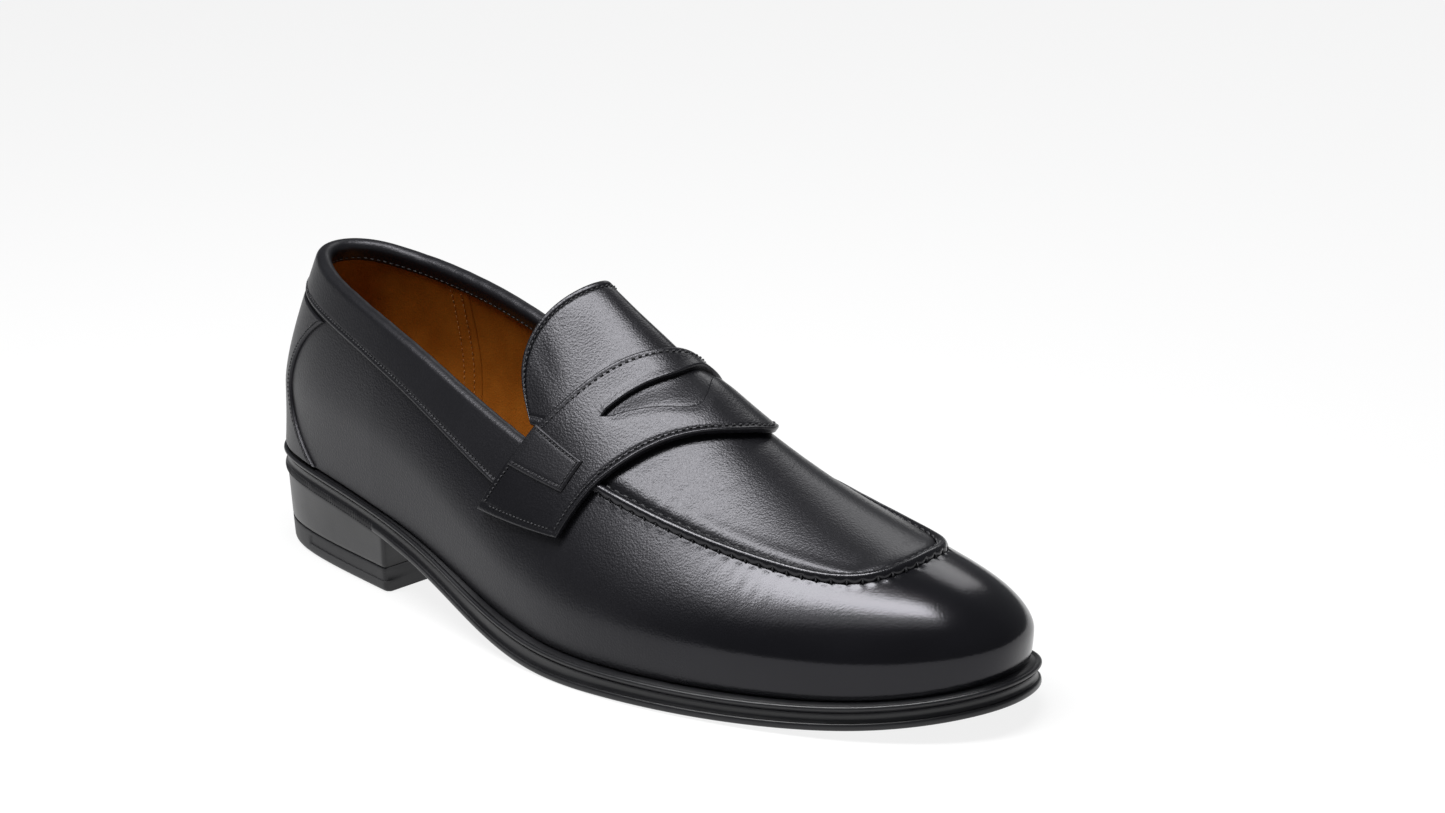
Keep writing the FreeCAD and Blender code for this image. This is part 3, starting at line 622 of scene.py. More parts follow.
def rubber(name, dark, light, rough):
    m, t, b = material(name, dark, rough, 0.0, 0.1, 0.45)
    v = coords(t)
    noise = "ShaderNodeTexNoise"
    wide = texture(t, noise, v, Scale=40.0, Detail=5.0, Roughness=0.6)
    fine = texture(t, noise, v, Scale=1800.0, Detail=2.0)
    brushed = texture(t, noise, coords(t, (120, 120, 1400)), Scale=1.0, Detail=3.0)
    tint(t, b, wide.outputs["Fac"], 0.3, 0.7, dark, light)
    t.links.new(remap(t, wide.outputs["Fac"], 0.3, 0.7, rough - 0.05, rough + 0.06),
                b.inputs["Roughness"])
    bumps(t, b, [(fine.outputs["Fac"], 0.12, 0.0002), (brushed.outputs["Fac"], 0.10, 0.0002)])
    return m


def plain(name, a, c, rough, scale, strength, metal=0.0):
    m, t, b = material(name, a, rough, 0.0, 0.1, 0.4, metal)
    n = texture(t, "ShaderNodeTexNoise", coords(t), Scale=scale, Detail=5.0)
    tint(t, b, n.outputs["Fac"], 0.35, 0.65, a, c)
    bumps(t, b, [(n.outputs["Fac"], strength, 0.0006)])
    return m


CALF = leather("calf_black", (0.0042, 0.0042, 0.0052), (0.0062, 0.0062, 0.0076), 0.42, 0.022,
               0.26, 0.08, 0.30)
WALL = leather("calf_black_toe_polished", (0.0036, 0.0036, 0.0046), (0.0054, 0.0054, 0.0068),
               0.40, 0.018, 0.30, 0.06, 0.22, polish=(0.035, 0.095, 0.17))
APRON = leather("calf_black_apron", (0.0042, 0.0042, 0.0052), (0.0064, 0.0064, 0.0078), 0.31,
                0.018, 0.24, 0.08, 0.20)
PIPING = leather("calf_black_seam", (0.0036, 0.0036, 0.0046), (0.0054, 0.0054, 0.0068), 0.26,
                 0.02, 0.15, 0.25, 0.12)
TAN = leather("lining_tan", (0.22, 0.066, 0.005), (0.33, 0.115, 0.012), 0.62, 0.05, 0.30,
              0.0, 0.3, spec=0.12)
RUBBER = rubber("rubber_black", (0.008, 0.008, 0.0095), (0.012, 0.012, 0.014), 0.35)
TREAD = rubber("rubber_tread", (0.010, 0.010, 0.012), (0.016, 0.016, 0.018), 0.55)
THREAD = plain("thread_black", (0.020, 0.020, 0.022), (0.045, 0.045, 0.050), 0.45, 4000, 0.4)
THREAD_TAN = plain("thread_tan", (0.30, 0.12, 0.035), (0.42, 0.19, 0.06), 0.6, 4000, 0.4)
STEEL = plain("steel", (0.5, 0.5, 0.52), (0.6, 0.6, 0.62), 0.3, 200, 0.1, 1.0)
CORK = plain("cork", (0.40, 0.26, 0.15), (0.24, 0.14, 0.07), 0.9, 500, 0.6)
BOARD = plain("fibre_board", (0.46, 0.38, 0.28), (0.38, 0.31, 0.22), 0.9, 900, 0.3)
FOAM = plain("foam", (0.74, 0.70, 0.62), (0.66, 0.62, 0.55), 0.95, 1500, 0.5)


# ---- upper ----------------------------------------------------------------------------
SHOE = "shoe"


def keep(ob, body, slot_name, *nodes):
    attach(ob, body)
    if nodes:
        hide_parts(*nodes)
    return ob


def seam_length():
    w = np.linspace(5.2, 14.8, 900)
    p = last(w, edge_v(w))
    return w, lengths(p, 0)


SEAM_W, SEAM_S = seam_length()
PITCH = 4.5


def seam_s(w):
    return np.interp(w, SEAM_W, SEAM_S)


def even_rows(w, low, high, t):
    """Heights v for fractions t of the way up the leather, one row per w."""
    fine = np.linspace(0, 1, 81)
    v = low[:, None] + (high - low)[:, None] * fine[None, :]
    s = lengths(last(w[:, None], v), 1)
    out = [np.interp(t * s[i, -1], s[i], v[i]) for i in range(len(w))]
    return np.array(out), s[:, -1]


def rim_drop(g, rise):
    """Gap below the top edge, which closes by rise mm towards the seam."""
    return 4.2 - rise * np.clip((g - 5.3) / 0.7, 0, 1)


def make_wall():
    w = np.linspace(0, 20, 680, endpoint=False)
    g = half_w(w)
    high = below_edge(w, rim_drop(g, 3.4))
    t = np.concatenate([[0, 0.012, 0.03], np.linspace(0.06, 0.72, 22),
                        np.linspace(0.745, 0.985, 24), [1.0]])
    v, total = even_rows(w, np.full_like(w, -0.995), high, t)
    s = (1 - t)[None, :] * total[:, None] + 0.8
    front = fade(g, 5.75, 6.1)[:, None]
    q = seam_s(w)[:, None]
    scallop = np.abs(np.sin(math.pi * q / PITCH)) ** 0.75
    off = front * 0.30 * np.exp(-((s - 1.9) / 1.3) ** 2) * (scallop - 0.35)
    off += front * 0.035 * np.exp(-s / 5.0) * np.cos(2 * math.pi * q / PITCH) * fade(s, 3.0, 5.0)
    off -= front * 0.55 * np.exp(-(s / 1.1) ** 2)
    flex = fade(g, 5.4, 6.2) * (1 - fade(g, 7.6, 8.3))
    px = last(w[:, None], v)
    off += 0.018 * flex[:, None] * ripple(px[..., 0] * 2.6, px[..., 1] + px[..., 2], 4, 16)
    off += 0.07 * ripple(px[..., 0], px[..., 2] * 1.4, 7, 60)
    low = skin(w[:, None], v, -UPPER)
    return shell("side_wall_leather", skin(w[:, None], v, off), low, WALL, True)


def ring_patch(w0, w1, low, high):
    """Piece between two heights; low and high are functions of w."""
    def param(a, b):
        w = w0 + (w1 - w0) * np.asarray(a, float)
        lo, hi = low(w), high(w)
        return np.broadcast_arrays(w, lo + (hi - lo) * b)
    return param


def backstay_param(a, b):
    """a runs up the piece, b across it from the inner to the outer side."""
    a, b = arrays(a, b)
    half = smooth(BACKSTAY_HALF, a * 4)
    w = (2 * b - 1) * half
    top = band_v(w) - 0.008
    fine = np.linspace(0, 1, 41)
    v = -0.99 + (top + 0.99)[..., None] * fine
    s = lengths(last(w[..., None], v), v.ndim - 1)
    f = a * s[..., -1]
    k = np.clip((s < f[..., None]).sum(-1) - 1, 0, 39)
    s0 = np.take_along_axis(s, k[..., None], -1)[..., 0]
    s1 = np.take_along_axis(s, k[..., None] + 1, -1)[..., 0]
    v0 = np.take_along_axis(v, k[..., None], -1)[..., 0]
    v1 = np.take_along_axis(v, k[..., None] + 1, -1)[..., 0]
    return w, v0 + (v1 - v0) * np.clip((f - s0) / (s1 - s0), 0, 1)


def make_backstay():
    p = Patch(skin, backstay_param, 40, 50)
    groove = -0.16 * bump(np.minimum(p.d_back, p.d_front), 1.75, 0.4)
    ob = p.make("backstay_leather", 0.05, 1.0, CALF, 0.7, groove)
    for side in ("back", "front"):
        p.sew("black", (side, 1.75, 0.92, 0.03, 0.97), 1.45, 1.0, 0.22, lift=0.05)
    return ob


def make_collar():
    w = np.linspace(-5.3, 5.3, 560)
    p, up, out = frame_at(w, edge_v(w))
    s_w = lengths(p, 0)
    lo, hi = band_v(w), below_edge(w, 2.6)
    fine = np.linspace(0, 1, 41)
    v = lo[:, None] + (hi - lo)[:, None] * fine
    s = lengths(last(w[:, None], v), 1)
    dist = [0, 0.1, 0.25, 0.5, 0.9, 1.3, 1.6, 1.85, 2.1, 2.4, 2.8, 3.5]
    loops = []
    for i in range(len(w)):
        d = np.concatenate([dist, np.linspace(3.5, s[i, -1], 9)[1:]])
        vi = np.interp(d, s[i], v[i])
        off = 1.25 - drop_round(d, 0.6) - 0.22 * bump(d, 1.85, 0.38) + 0.12 * bump(d, 0.8, 0.6)
        loops.append((vi, off))
    vv = np.array([a for a, _ in loops])
    oo = np.array([b for _, b in loops])
    band_top = skin(w[:, None], vv, oo)
    band_low = skin(w[:, None], vv, 0.1)
    fold = 0.10 * ripple(s_w, 0 * s_w, 11, 9)[:, None]
    a = np.radians(np.arange(4, 176, 11.0))
    o3, u3, p3 = out[:, None, :], up[:, None, :], p[:, None, :]
    puff = 1 + (0.02 + 0.35 * fold) * np.sin(a)[None, :]
    roll = (p3 + o3 * (-1.45 + 2.68 * np.cos(a))[None, :, None]
            + u3 * (2.68 * puff * np.sin(a)[None, :] - 2.3)[..., None])
    b = a[::-1]
    roll_in = (p3 + o3 * (-1.45 + 1.6 * np.cos(b))[None, :, None]
               + u3 * (1.6 * np.sin(b) - 2.3)[None, :, None])
    down = np.array([3.0, 3.8, 4.6, 5.4, 6.0, 6.3])
    leg_out = 4.13 - drop_round(6.4 - down, 0.5) - 0.14 * bump(down, 5.0, 0.4)
    leg = p3 - o3 * leg_out[None, :, None] - u3 * down[None, :, None]
    leg_in = p3 - o3 * 3.2 - u3 * np.array([6.4, 5.0, 3.6])[None, :, None]
    loop = np.concatenate([band_top, roll, leg, leg_in, roll_in, band_low[:, ::-1]], 1)
    ob = tube("collar_band_and_roll", loop, CALF, False, 60)
    row_v = np.array([np.interp(1.85, s[i], v[i]) for i in range(len(w))])
    line = skin(w, row_v, 1.12)
    nrm = unit(skin(w, row_v, 1.4) - line)
    ok = slice(14, -14)
    stitches("black", line[ok], nrm[ok], 1.6, 1.1, 0.23, lift=0.06)
    line = p - out * 4.06 - up * 5.2
    stitches("black", line[ok], -out[ok], 2.2, 1.5, 0.18)
    return ob


def make_ridge():
    w = np.linspace(5.86, 13.9, 900)
    p, up, out = frame_at(w, edge_v(w))
    q = seam_s(w)
    a = np.arange(28) * math.tau / 28
    down = np.cos(a)
    rise = np.sin(a)
    scallop = np.abs(np.sin(math.pi * q / PITCH)) ** 0.8
    wall_side = np.clip(down, 0, 1) ** 0.8 * np.clip(0.75 - rise, 0, 1)
    far_side = np.clip(-down, 0, 1) ** 1.5 * np.clip(0.9 - rise, 0, 1)
    r = 1.58 + 0.80 * (scallop[:, None] - 0.35) * wall_side[None, :]
    r = r + 0.16 * (scallop[:, None] - 0.6) * far_side[None, :]
    r = r + 0.03 * ripple(q, 0 * q, 3, 15)[:, None]
    mid = p + out * 0.30
    loop = (mid[:, None, :] - up[:, None, :] * (r * down[None, :])[..., None]
            + out[:, None, :] * (r * 1.02 * rise[None, :])[..., None])
    ob = tube("moccasin_seam_ridge", loop, PIPING, False, 70)
    base = mid + up * 1.45 - out * 0.15
    nrm = unit(out + up * 0.75)
    inner = slice(12, -12)
    stitches("black", (base + nrm * 0.2)[inner], nrm[inner], PITCH * 0.75, 2.3, 0.38)
    notch = np.arange(math.ceil(q[0] / PITCH), math.floor(q[-1] / PITCH)) * PITCH
    for s0 in notch:
        wi = float(np.interp(s0, SEAM_S, SEAM_W))
        pi, ui, oi = frame_at(np.array([wi]), edge_v(np.array([wi])))
        c = pi + oi * 0.3
        ang = np.radians(np.linspace(-52, 30, 7))[:, None]
        line = c - ui * (np.cos(ang) * 1.62) + oi * (np.sin(ang) * 1.62)
        nrm = -ui * np.cos(ang) + oi * np.sin(ang)
        stitches("black", line, nrm, 9.0, 2.0, 0.32, sink=0.2)
    return ob


def locate(x, y):
    """Height of the last surface above plan positions."""
    x, y = np.asarray(x, float), np.asarray(y, float)
    side = np.where(y > centre_y(np.minimum(x, 235.0)), 1.0, -1.0)
    low, high = np.full(x.shape, 4.0), np.full(x.shape, 10.0)
    for _ in range(26):
        g = 0.5 * (low + high)
        f = bearing(g)
        bx = mirrored(FOOT_X, g)
        turn = -np.cos(f) * (y - centre_y(bx)) - side * np.sin(f) * (x - bx)
        neg = turn * side < 0
        low, high = np.where(neg, g, low), np.where(neg, high, g)
    w = np.where(side < 0, g, 20 - g)
    bx = mirrored(FOOT_X, g)
    by = centre_y(bx)
    r = np.hypot(x - bx, y - by)
    a, b = np.zeros(x.shape), np.ones(x.shape)
    for _ in range(26):
        v = 0.5 * (a + b)
        p = last(w, v)
        far = np.hypot(p[..., 0] - bx, p[..., 1] - by) > r
        a, b = np.where(far, v, a), np.where(far, b, v)
    return last(w, v)[..., 2]


def seam_plan(w, inside):
    p = last(w, edge_v(w))
    t = last(w + 0.03, edge_v(w + 0.03)) - last(w - 0.03, edge_v(w - 0.03))
    n = np.hypot(t[..., 0], t[..., 1])
    return np.stack([p[..., 0] - t[..., 1] / n * inside, p[..., 1] + t[..., 0] / n * inside], -1)


def apron_plan(inside, back, s, t):
    """Coons patch in plan: back edge, two long sides, toe arc."""
    s, t = s[:, None, None], t[None, :, None]
    left = seam_plan(6.0 - back + (2.9 + back) * t[0, :, 0], inside)[None]
    right = seam_plan(13.9 + back - (2.8 + back) * t[0, :, 0], inside)[None]
    front = seam_plan(8.9 + 2.2 * s[:, 0, 0], inside)[:, None]
    c00, c10, c01, c11 = left[0, 0], right[0, 0], left[0, -1], right[0, -1]
    rear = c00 + (c10 - c00) * s
    rear = rear + np.array([9.0, 0.0]) * (1 - (2 * s - 1) ** 2)
    ruled = (1 - s) * left + s * right + (1 - t) * rear + t * front
    return ruled - ((1 - s) * (1 - t) * c00 + s * (1 - t) * c10
                    + (1 - s) * t * c01 + s * t * c11)


def lifted(xy, z, n, off):
    return np.concatenate([xy, z[..., None]], -1) + n * np.asarray(off)[..., None]


def apron_layer(name, inside, back, low, thick, material, detail):
    s = np.concatenate([[0, 0.008, 0.02, 0.035], np.linspace(0.055, 0.945, 62),
                        [0.965, 0.98, 0.992, 1]])
    t = np.concatenate([np.linspace(0, 0.94, 90), np.linspace(0.95, 1, 8)])
    xy = apron_plan(inside, back, s, t)
    z = locate(xy[..., 0], xy[..., 1])
    h = 0.5
    zx = (locate(xy[..., 0] + h, xy[..., 1]) - locate(xy[..., 0] - h, xy[..., 1])) / (2 * h)
    zy = (locate(xy[..., 0], xy[..., 1] + h) - locate(xy[..., 0], xy[..., 1] - h)) / (2 * h)
    n = unit(np.stack([-zx, -zy, np.ones_like(zx)], -1))
    mid = lifted(xy, z, n, 0 * z)
    across_d = lengths(mid, 0)
    along_d = lengths(mid, 1)
    d = np.minimum(across_d, across_d[-1] - across_d)
    d = np.minimum(d, along_d[:, -1:] - along_d)
    off = low + thick + detail(xy, d)
    return shell(name, lifted(xy, z, n, off), lifted(xy, z, n, low + 0 * z), material)


def apron_detail(xy, d):
    x, y = xy[..., 0], xy[..., 1]
    out = -0.55 * np.exp(-(d / 1.6) ** 2) + 0.30 * bump(d, 4.5, 3.0)
    flex = (1 - fade(x, 196, 226)) * fade(x, 170, 182)
    arc = x + 0.012 * (y - 2) ** 2
    out = out + 0.030 * flex * ripple(arc * 3.4, y * 0.35, 21, 16)
    out = out + 0.08 * ripple(x, y, 5, 60)
    return out


def strap_back(q):
    return pair(STRAP_BACK, q)


def strap_at(q, t):
    """Strap position: q along it from the outer end, t across it from the back edge."""
    g1, c1 = strap_back(q)
    g2, c2 = pair(STRAP_FRONT, q)
    return g1 + (g2 - g1) * t, c1 + (c2 - c1) * t


def strap_q(c):
    """Strap position q whose back edge lies at c over the instep."""
    low, high = 0.0, 1.0
    for _ in range(30):
        mid = 0.5 * (low + high)
        if strap_back(mid)[1] < c:
            low = mid
        else:
            high = mid
    return 0.5 * (low + high)


def slot_lines():
    """The slot's two edges as strap positions: t for each q."""
    res = []
    p = np.linspace(0, 1, 120)
    qa, ta = np.meshgrid(np.linspace(0, 1, 400), np.linspace(0, 1, 160), indexing="ij")
    ga, ca = strap_at(qa, ta)
    for tab in (SLOT_TOP, SLOT_LIP):
        g, c = pair(tab, p)
        qs, ts = [], []
        for gi, ci in zip(g, c):
            k = np.argmin((ga - gi) ** 2 + ((ca - ci) * 2.5) ** 2)
            q, t = qa.flat[k], ta.flat[k]
            for _ in range(6):
                g0, c0 = strap_at(q, t)
                g1, c1 = strap_at(q + 1e-4, t)
                g2, c2 = strap_at(q, t + 1e-4)
                m = np.array([[(g1 - g0), (g2 - g0)], [(c1 - c0), (c2 - c0)]]) / 1e-4
                dq, dt = np.linalg.solve(m, [gi - g0, ci - c0])
                q, t = q + float(np.clip(dq, -0.02, 0.02)), t + float(np.clip(dt, -0.05, 0.05))
            qs.append(q)
            ts.append(t)
        res.append((np.array(qs), np.array(ts)))
    return res


(Q_TOP, T_TOP), (Q_LIP, T_LIP) = slot_lines()
SLOT_Q0 = 0.5 * (Q_TOP[0] + Q_LIP[0])
SLOT_Q1 = 0.5 * (Q_TOP[-1] + Q_LIP[-1])
TIP0 = 0.5 * (T_TOP[0] + T_LIP[0])
TIP1 = 0.5 * (T_TOP[-1] + T_LIP[-1])


def slot_t(q):
    """Edges of the slot across the strap, equal outside it."""
    base = np.interp(q, [SLOT_Q0, SLOT_Q1], [TIP0, TIP1])
    inside = fade(q, SLOT_Q0, SLOT_Q0 + 0.015) * (1 - fade(q, SLOT_Q1 - 0.015, SLOT_Q1))
    top = base + (np.interp(q, Q_TOP, T_TOP) - base) * inside
    lip = base + (np.interp(q, Q_LIP, T_LIP) - base) * inside
    return top, lip, inside


def strap_stations():
    """Positions q with the slot's ends among them, the strap's length, its widths."""
    grid = np.linspace(0, 1, 161)
    mid = across(*strap_at(grid[:, None], grid[None, ::8]), 0.0)
    along = float(lengths(mid, 0)[-1].mean())
    ends = edge_steps(along, 150)
    q = np.unique(np.round(np.concatenate([ends, [SLOT_Q0, SLOT_Q1]]), 7))
    q = q[np.concatenate([[True], np.diff(q) > 4e-4])]
    q[np.argmin(abs(q - SLOT_Q0))] = SLOT_Q0
    q[np.argmin(abs(q - SLOT_Q1))] = SLOT_Q1
    return q, along, np.interp(q, grid, lengths(mid, 1)[:, -1])


def band_rows(t0, t1, width, open_q, upper):
    """Band on one side of the slot: t, distance from the outer edge and from the slot."""
    n_mid, closed = 10, 50
    rows, outer, slot = [], [], []
    for i in range(len(t0)):
        length = (t1[i] - t0[i]) * width[i]
        f = np.array(FINE) * min(1.0, 0.42 * length / FINE[-1])
        m = np.linspace(f[-1], length - f[-1], n_mid + 2)[1:-1]
        pos = np.concatenate([f, m, length - f[::-1]])
        rows.append(t0[i] + pos / width[i])
        outer.append(pos if upper else length - pos)
        slot.append((length - pos if upper else pos) + (0 if open_q[i] else closed))
    return np.array(rows), np.array(outer), np.array(slot)


def band_offset(g, c, outer, slot, ends_d, inside, upper):
    """Height of the strap's face, with lifted slot edge, welts and stitch grooves."""
    d = np.minimum(np.minimum(outer, slot), ends_d)
    off = STRAP_LOW + STRAP_THICK - drop_round(d, 0.55)
    if upper:
        off = off + 0.25 * inside[:, None] * np.exp(-(slot / 2.2) ** 2)
        off = off - 0.14 * bump(outer, 1.75, 0.42) * fade(ends_d, 6, 10)
    else:
        off = off - 0.35 * inside[:, None] * np.exp(-(slot / 2.6) ** 2)
        off = off + 0.30 * bump(outer, 0.6, 0.9)
        off = off - 0.22 * bump(outer, 2.35, 0.5)
    pos = across(g, c, 0.0)
    off = off - 0.12 * bump(ends_d, 2.05, 0.45)
    return off + 0.10 * ripple(pos[..., 0], pos[..., 1], 31, 30)


def strap_stitches(along):
    strap = Patch(across, strap_at, 60, 14)
    face = STRAP_LOW + STRAP_THICK
    q0, q1 = strap_q(-0.66), strap_q(0.66)
    strap.sew("black", ("back", 1.75, face - 0.12, q0, q1, 700), 2.2, 1.35, 0.31, lift=0.06)
    front_row = ("front", 2.35, face - 0.2, q0 + 0.01, q1 - 0.01, 700)
    strap.sew("black", front_row, 2.2, 1.35, 0.30, lift=0.08)
    pad = 2.2 / along
    for a, b in ((pad, q0), (q1, 1.0 - pad)):
        for side in ("back", "front"):
            strap.sew("black", (side, 1.9, face - 0.02, a, b, 200), 1.5, 0.95, 0.25, lift=0.06)
    for side in ("start", "end"):
        strap.sew("black", (side, 2.05, face - 0.1, 0.12, 0.88, 200), 1.5, 0.95, 0.25, lift=0.06)


def make_strap():
    q, along, width = strap_stations()
    top, lip, inside = slot_t(q)
    open_q = (q > SLOT_Q0 + 1e-6) & (q < SLOT_Q1 - 1e-6)
    verts, faces, base = [], [], 0
    for t0, t1, upper in ((0 * q, top, True), (lip, 0 * q + 1, False)):
        t, outer, slot = band_rows(t0, t1, width, open_q, upper)
        qq = np.repeat(q[:, None], t.shape[1], 1)
        g, c = strap_at(qq, t)
        ends_d = np.minimum(qq * along, (1 - qq) * along)
        off = band_offset(g, c, outer, slot, ends_d, inside, upper)
        a, b = across(g, c, off), across(g, c, np.full_like(off, STRAP_LOW))
        nu, nv = t.shape
        n = nu * nv
        faces += quads(nu, nv, base=base) + quads(nu, nv, base=base + n)
        ids = np.arange(n).reshape(nu, nv) + base
        edge, inner = (ids[:, 0], ids[:, -1]) if upper else (ids[:, -1], ids[:, 0])
        faces += strip(edge.tolist(), (edge + n).tolist())
        for i in range(nu - 1):
            if open_q[i] or open_q[i + 1]:
                faces.append([inner[i], inner[i + 1], inner[i + 1] + n, inner[i] + n])
        for line in (ids[0], ids[-1]):
            faces += strip(line.tolist(), (line + n).tolist())
        verts += [a.reshape(-1, 3), b.reshape(-1, 3)]
        base += 2 * n
    ob = build("saddle_strap_leather", np.concatenate(verts),
               [[int(x) for x in f] for f in faces], APRON, 50, doubles=2e-7)
    strap_stitches(along)
    return ob


def slot_panel_param(a, b):
    """Leather seen through the slot. It tucks under the strap and stays inside its edges."""
    pad = 0.03
    q = SLOT_Q0 - pad + (SLOT_Q1 - SLOT_Q0 + 2 * pad) * np.asarray(a, float)
    top, lip, _ = slot_t(q)
    tuck, rest = 0.14, 0.35
    t0 = np.maximum(top - tuck, rest * top)
    t1 = np.minimum(lip + tuck, 1 - rest * (1 - lip))
    return strap_at(q, t0 + (t1 - t0) * b)


def make_slot_panel():
    p = Patch(across, slot_panel_param, 50, 26)
    rise = 1.05 * fade(p.b, 0.22, 0.80) * fade(p.a, 0.0, 0.2) * (1 - fade(p.a, 0.85, 1.0))
    wave = 0.08 * ripple(p.a * 60, p.b * 14, 41, 14)
    return p.make("slot_panel_leather", 0.15, 1.15, APRON, 0.4, rise + wave)


def quad_param(corners):
    """Straight-sided piece; the corners go round it."""
    a0, a1, b1, b0 = corners

    def param(s, t):
        g1, c1 = a0[0] + (a1[0] - a0[0]) * s, a0[1] + (a1[1] - a0[1]) * s
        g2, c2 = b0[0] + (b1[0] - b0[0]) * s, b0[1] + (b1[1] - b0[1]) * s
        return g1 + (g2 - g1) * t, c1 + (c2 - c1) * t
    return param


def make_tab(name, corners):
    steps = [0, 0.1, 0.25, 0.45, 0.75, 1.15, 1.5, 1.8, 2.2]
    p = Patch(across, quad_param(corners), 24, 12, fine=steps)
    ridge = 0.10 * bump(p.d, 0.9, 0.5) - 0.14 * bump(p.d, 1.5, 0.35)
    ob = p.make(name, 2.60, 1.05, CALF, 0.8, ridge)
    for side in ("back", "front", "end"):
        p.sew("black", (side, 1.4, 3.60, 0.06, 0.94, 200), 1.45, 0.95, 0.25, lift=0.05)
    return ob


def tongue_front(q):
    a, b = strap_q(-0.672), strap_q(0.672)
    return strap_back(a + (b - a) * q)


def tongue_param(a, b):
    """b from the free edge (0), past the strap's edge (0.8), to under the strap (1)."""
    a, b = arrays(a, b)
    g1, c1 = pair(TONGUE_BACK, a)
    g2, c2 = tongue_front(a)
    g3, c3 = 5.88 + 0.17 * (1 - (c2 / 0.68) ** 2), c2 * 0.95
    g3 = g2 + (g3 - g2) * 0.75
    c3 = c2 + (c3 - c2) * 0.75
    t, u = np.clip(b / 0.8, 0, 1), np.clip((b - 0.8) / 0.2, 0, 1)
    return g1 + (g2 - g1) * t + (g3 - g2) * u, c1 + (c2 - c1) * t + (c3 - c2) * u


def make_tongue():
    p = Patch(across, tongue_param, 90, 34)
    free = 1 - fade(p.b, 0.72, 0.8)
    d = np.minimum(p.d_back, np.minimum(p.d_start, p.d_end) + 30 * fade(p.b, 0.75, 0.85))
    ridge = 0.28 * (1 - fade(d, 1.6, 2.4)) - 0.20 * bump(d, 2.35, 0.4)
    pos = across(*p.param(p.a, p.b), 0.0)
    crease = 0.035 * ripple(pos[..., 0] * 1.0 + pos[..., 2] * 0.8, pos[..., 1] * 0.9, 51, 11)
    crease = crease * fade(d, 3, 8) * (1 - fade(p.b, 0.7, 0.85))
    wide = 0.16 * ripple(pos[..., 0], pos[..., 1], 53, 34)
    ob = p.make("tongue_leather", -UPPER, UPPER, APRON, 0.6, ridge * free + crease + wide * free,
                edge=d)
    p.sew("tongue", ("back", 2.3, -0.02, 0.05, 0.95, 600), 1.8, 1.2, 0.27, lift=0.06)
    return ob


def make_tongue_lining():
    p = Patch(across, tongue_param, 60, 20)
    return p.make("tongue_lining_leather", -2.1, 0.85, TAN, 0.3, 0.0)


def lining(name, w0, w1, thicker):
    def high(w):
        return below_edge(w, rim_drop(half_w(w), 1.7))
    p = Patch(skin, ring_patch(w0, w1, lambda w: -0.93 + 0 * w, high), 60, 26)
    pos = skin(*p.param(p.a, p.b), 0.0)
    wave = 0.12 * ripple(pos[..., 0] + pos[..., 1], pos[..., 2], 61, 26)
    seam = -0.2 * bump(np.minimum(p.d_start, p.d_end), 1.75, 0.5)
    s = p.param(p.a, p.b)
    inner = LINING_LOW - thicker + wave + drop_round(p.d, 0.35) - seam
    return shell(name, skin(*s, LINING_LOW + LINING_THICK), skin(*s, inner), TAN)


def lining_seam(w, off):
    """One row of stitches down the seam between heel and quarter lining."""
    v = np.linspace(-0.85, float(below_edge(np.array([w]), 7.5)[0]), 200)
    line = skin(np.full(200, w), v, off)
    nrm = unit(skin(np.full(200, w), v, off - 0.3) - line)
    stitches("tan", line, nrm, 2.0, 1.35, 0.17)


def sole_halves(inset):
    """Ends in x of the inset outline, and its outer and inner y limits as functions of x."""
    u = np.linspace(0, len(SOLE), 3600, endpoint=False)
    x, y = outline(u)
    nx, ny = outline_inward(u)
    d = inset(x) if callable(inset) else inset
    x, y = x + nx * d, y + ny * d
    i0, i1 = int(np.argmin(x)), int(np.argmax(x))
    ring_i = np.arange(len(x))
    lower = np.roll(ring_i, -i0)[: (i1 - i0) % len(x) + 1]
    upper = np.roll(ring_i, -i1)[: (i0 - i1) % len(x) + 1][::-1]

    def lo(q):
        return np.interp(q, np.maximum.accumulate(x[lower]), y[lower])

    def hi(q):
        return np.interp(q, np.maximum.accumulate(x[upper]), y[upper])
    return x[i0], x[i1], lo, hi


def plan_slab(name, inset, z_top, z_low, material, nx=220, ny=64):
    """Flat closed piece that follows the sole's outline."""
    x0, x1, lo, hi = sole_halves(inset)
    c = np.linspace(0, 1, nx)
    x = x0 + 1e-3 + (x1 - x0 - 2e-3) * (0.5 - 0.5 * np.cos(math.pi * c))
    t = np.concatenate([[0, 0.008, 0.02, 0.04], np.linspace(0.06, 0.94, ny),
                        [0.96, 0.98, 0.992, 1]])
    xx = np.repeat(x[:, None], len(t), 1)
    yy = lo(x)[:, None] + (hi(x) - lo(x))[:, None] * t[None, :]
    edge = np.minimum(np.minimum(yy - lo(x)[:, None], hi(x)[:, None] - yy),
                      np.minimum(xx - x0, x1 - xx))
    top = np.stack([xx, yy, z_top(xx, yy, edge)], -1)
    low = np.stack([xx, yy, z_low(xx, yy, edge)], -1)
    return shell(name, top, low, material)


def make_sock():
    return plan_slab(
        "sock_leather", lambda x: ledge(x) + 3.3,
        lambda x, y, e: topside(x) + 5.2 - 0.5 * np.exp(-(e / 0.8) ** 2)
        + 0.9 * np.exp(-e / 5.0) - 0.35 * bump(np.hypot((x - 36) / 24, (y - 4) / 18), 0, 0.8)
        + 0.07 * ripple(x, y, 71, 24),
        lambda x, y, e: topside(x) + 4.25, TAN)


# ---- sole unit --------------------------------------------------------------------------
def outline_stations():
    """Dense round the heel for the ribs, 1 mm elsewhere."""
    u = np.linspace(0, len(SOLE), 20001)
    x, y = outline(u)
    s = lengths(np.stack([x, y], -1), 0)
    step = np.where(x < 82, 0.22, 1.1)
    count = np.concatenate([[0], np.cumsum(np.diff(s) / step[:-1])])
    return np.interp(np.arange(int(count[-1])), count, u)


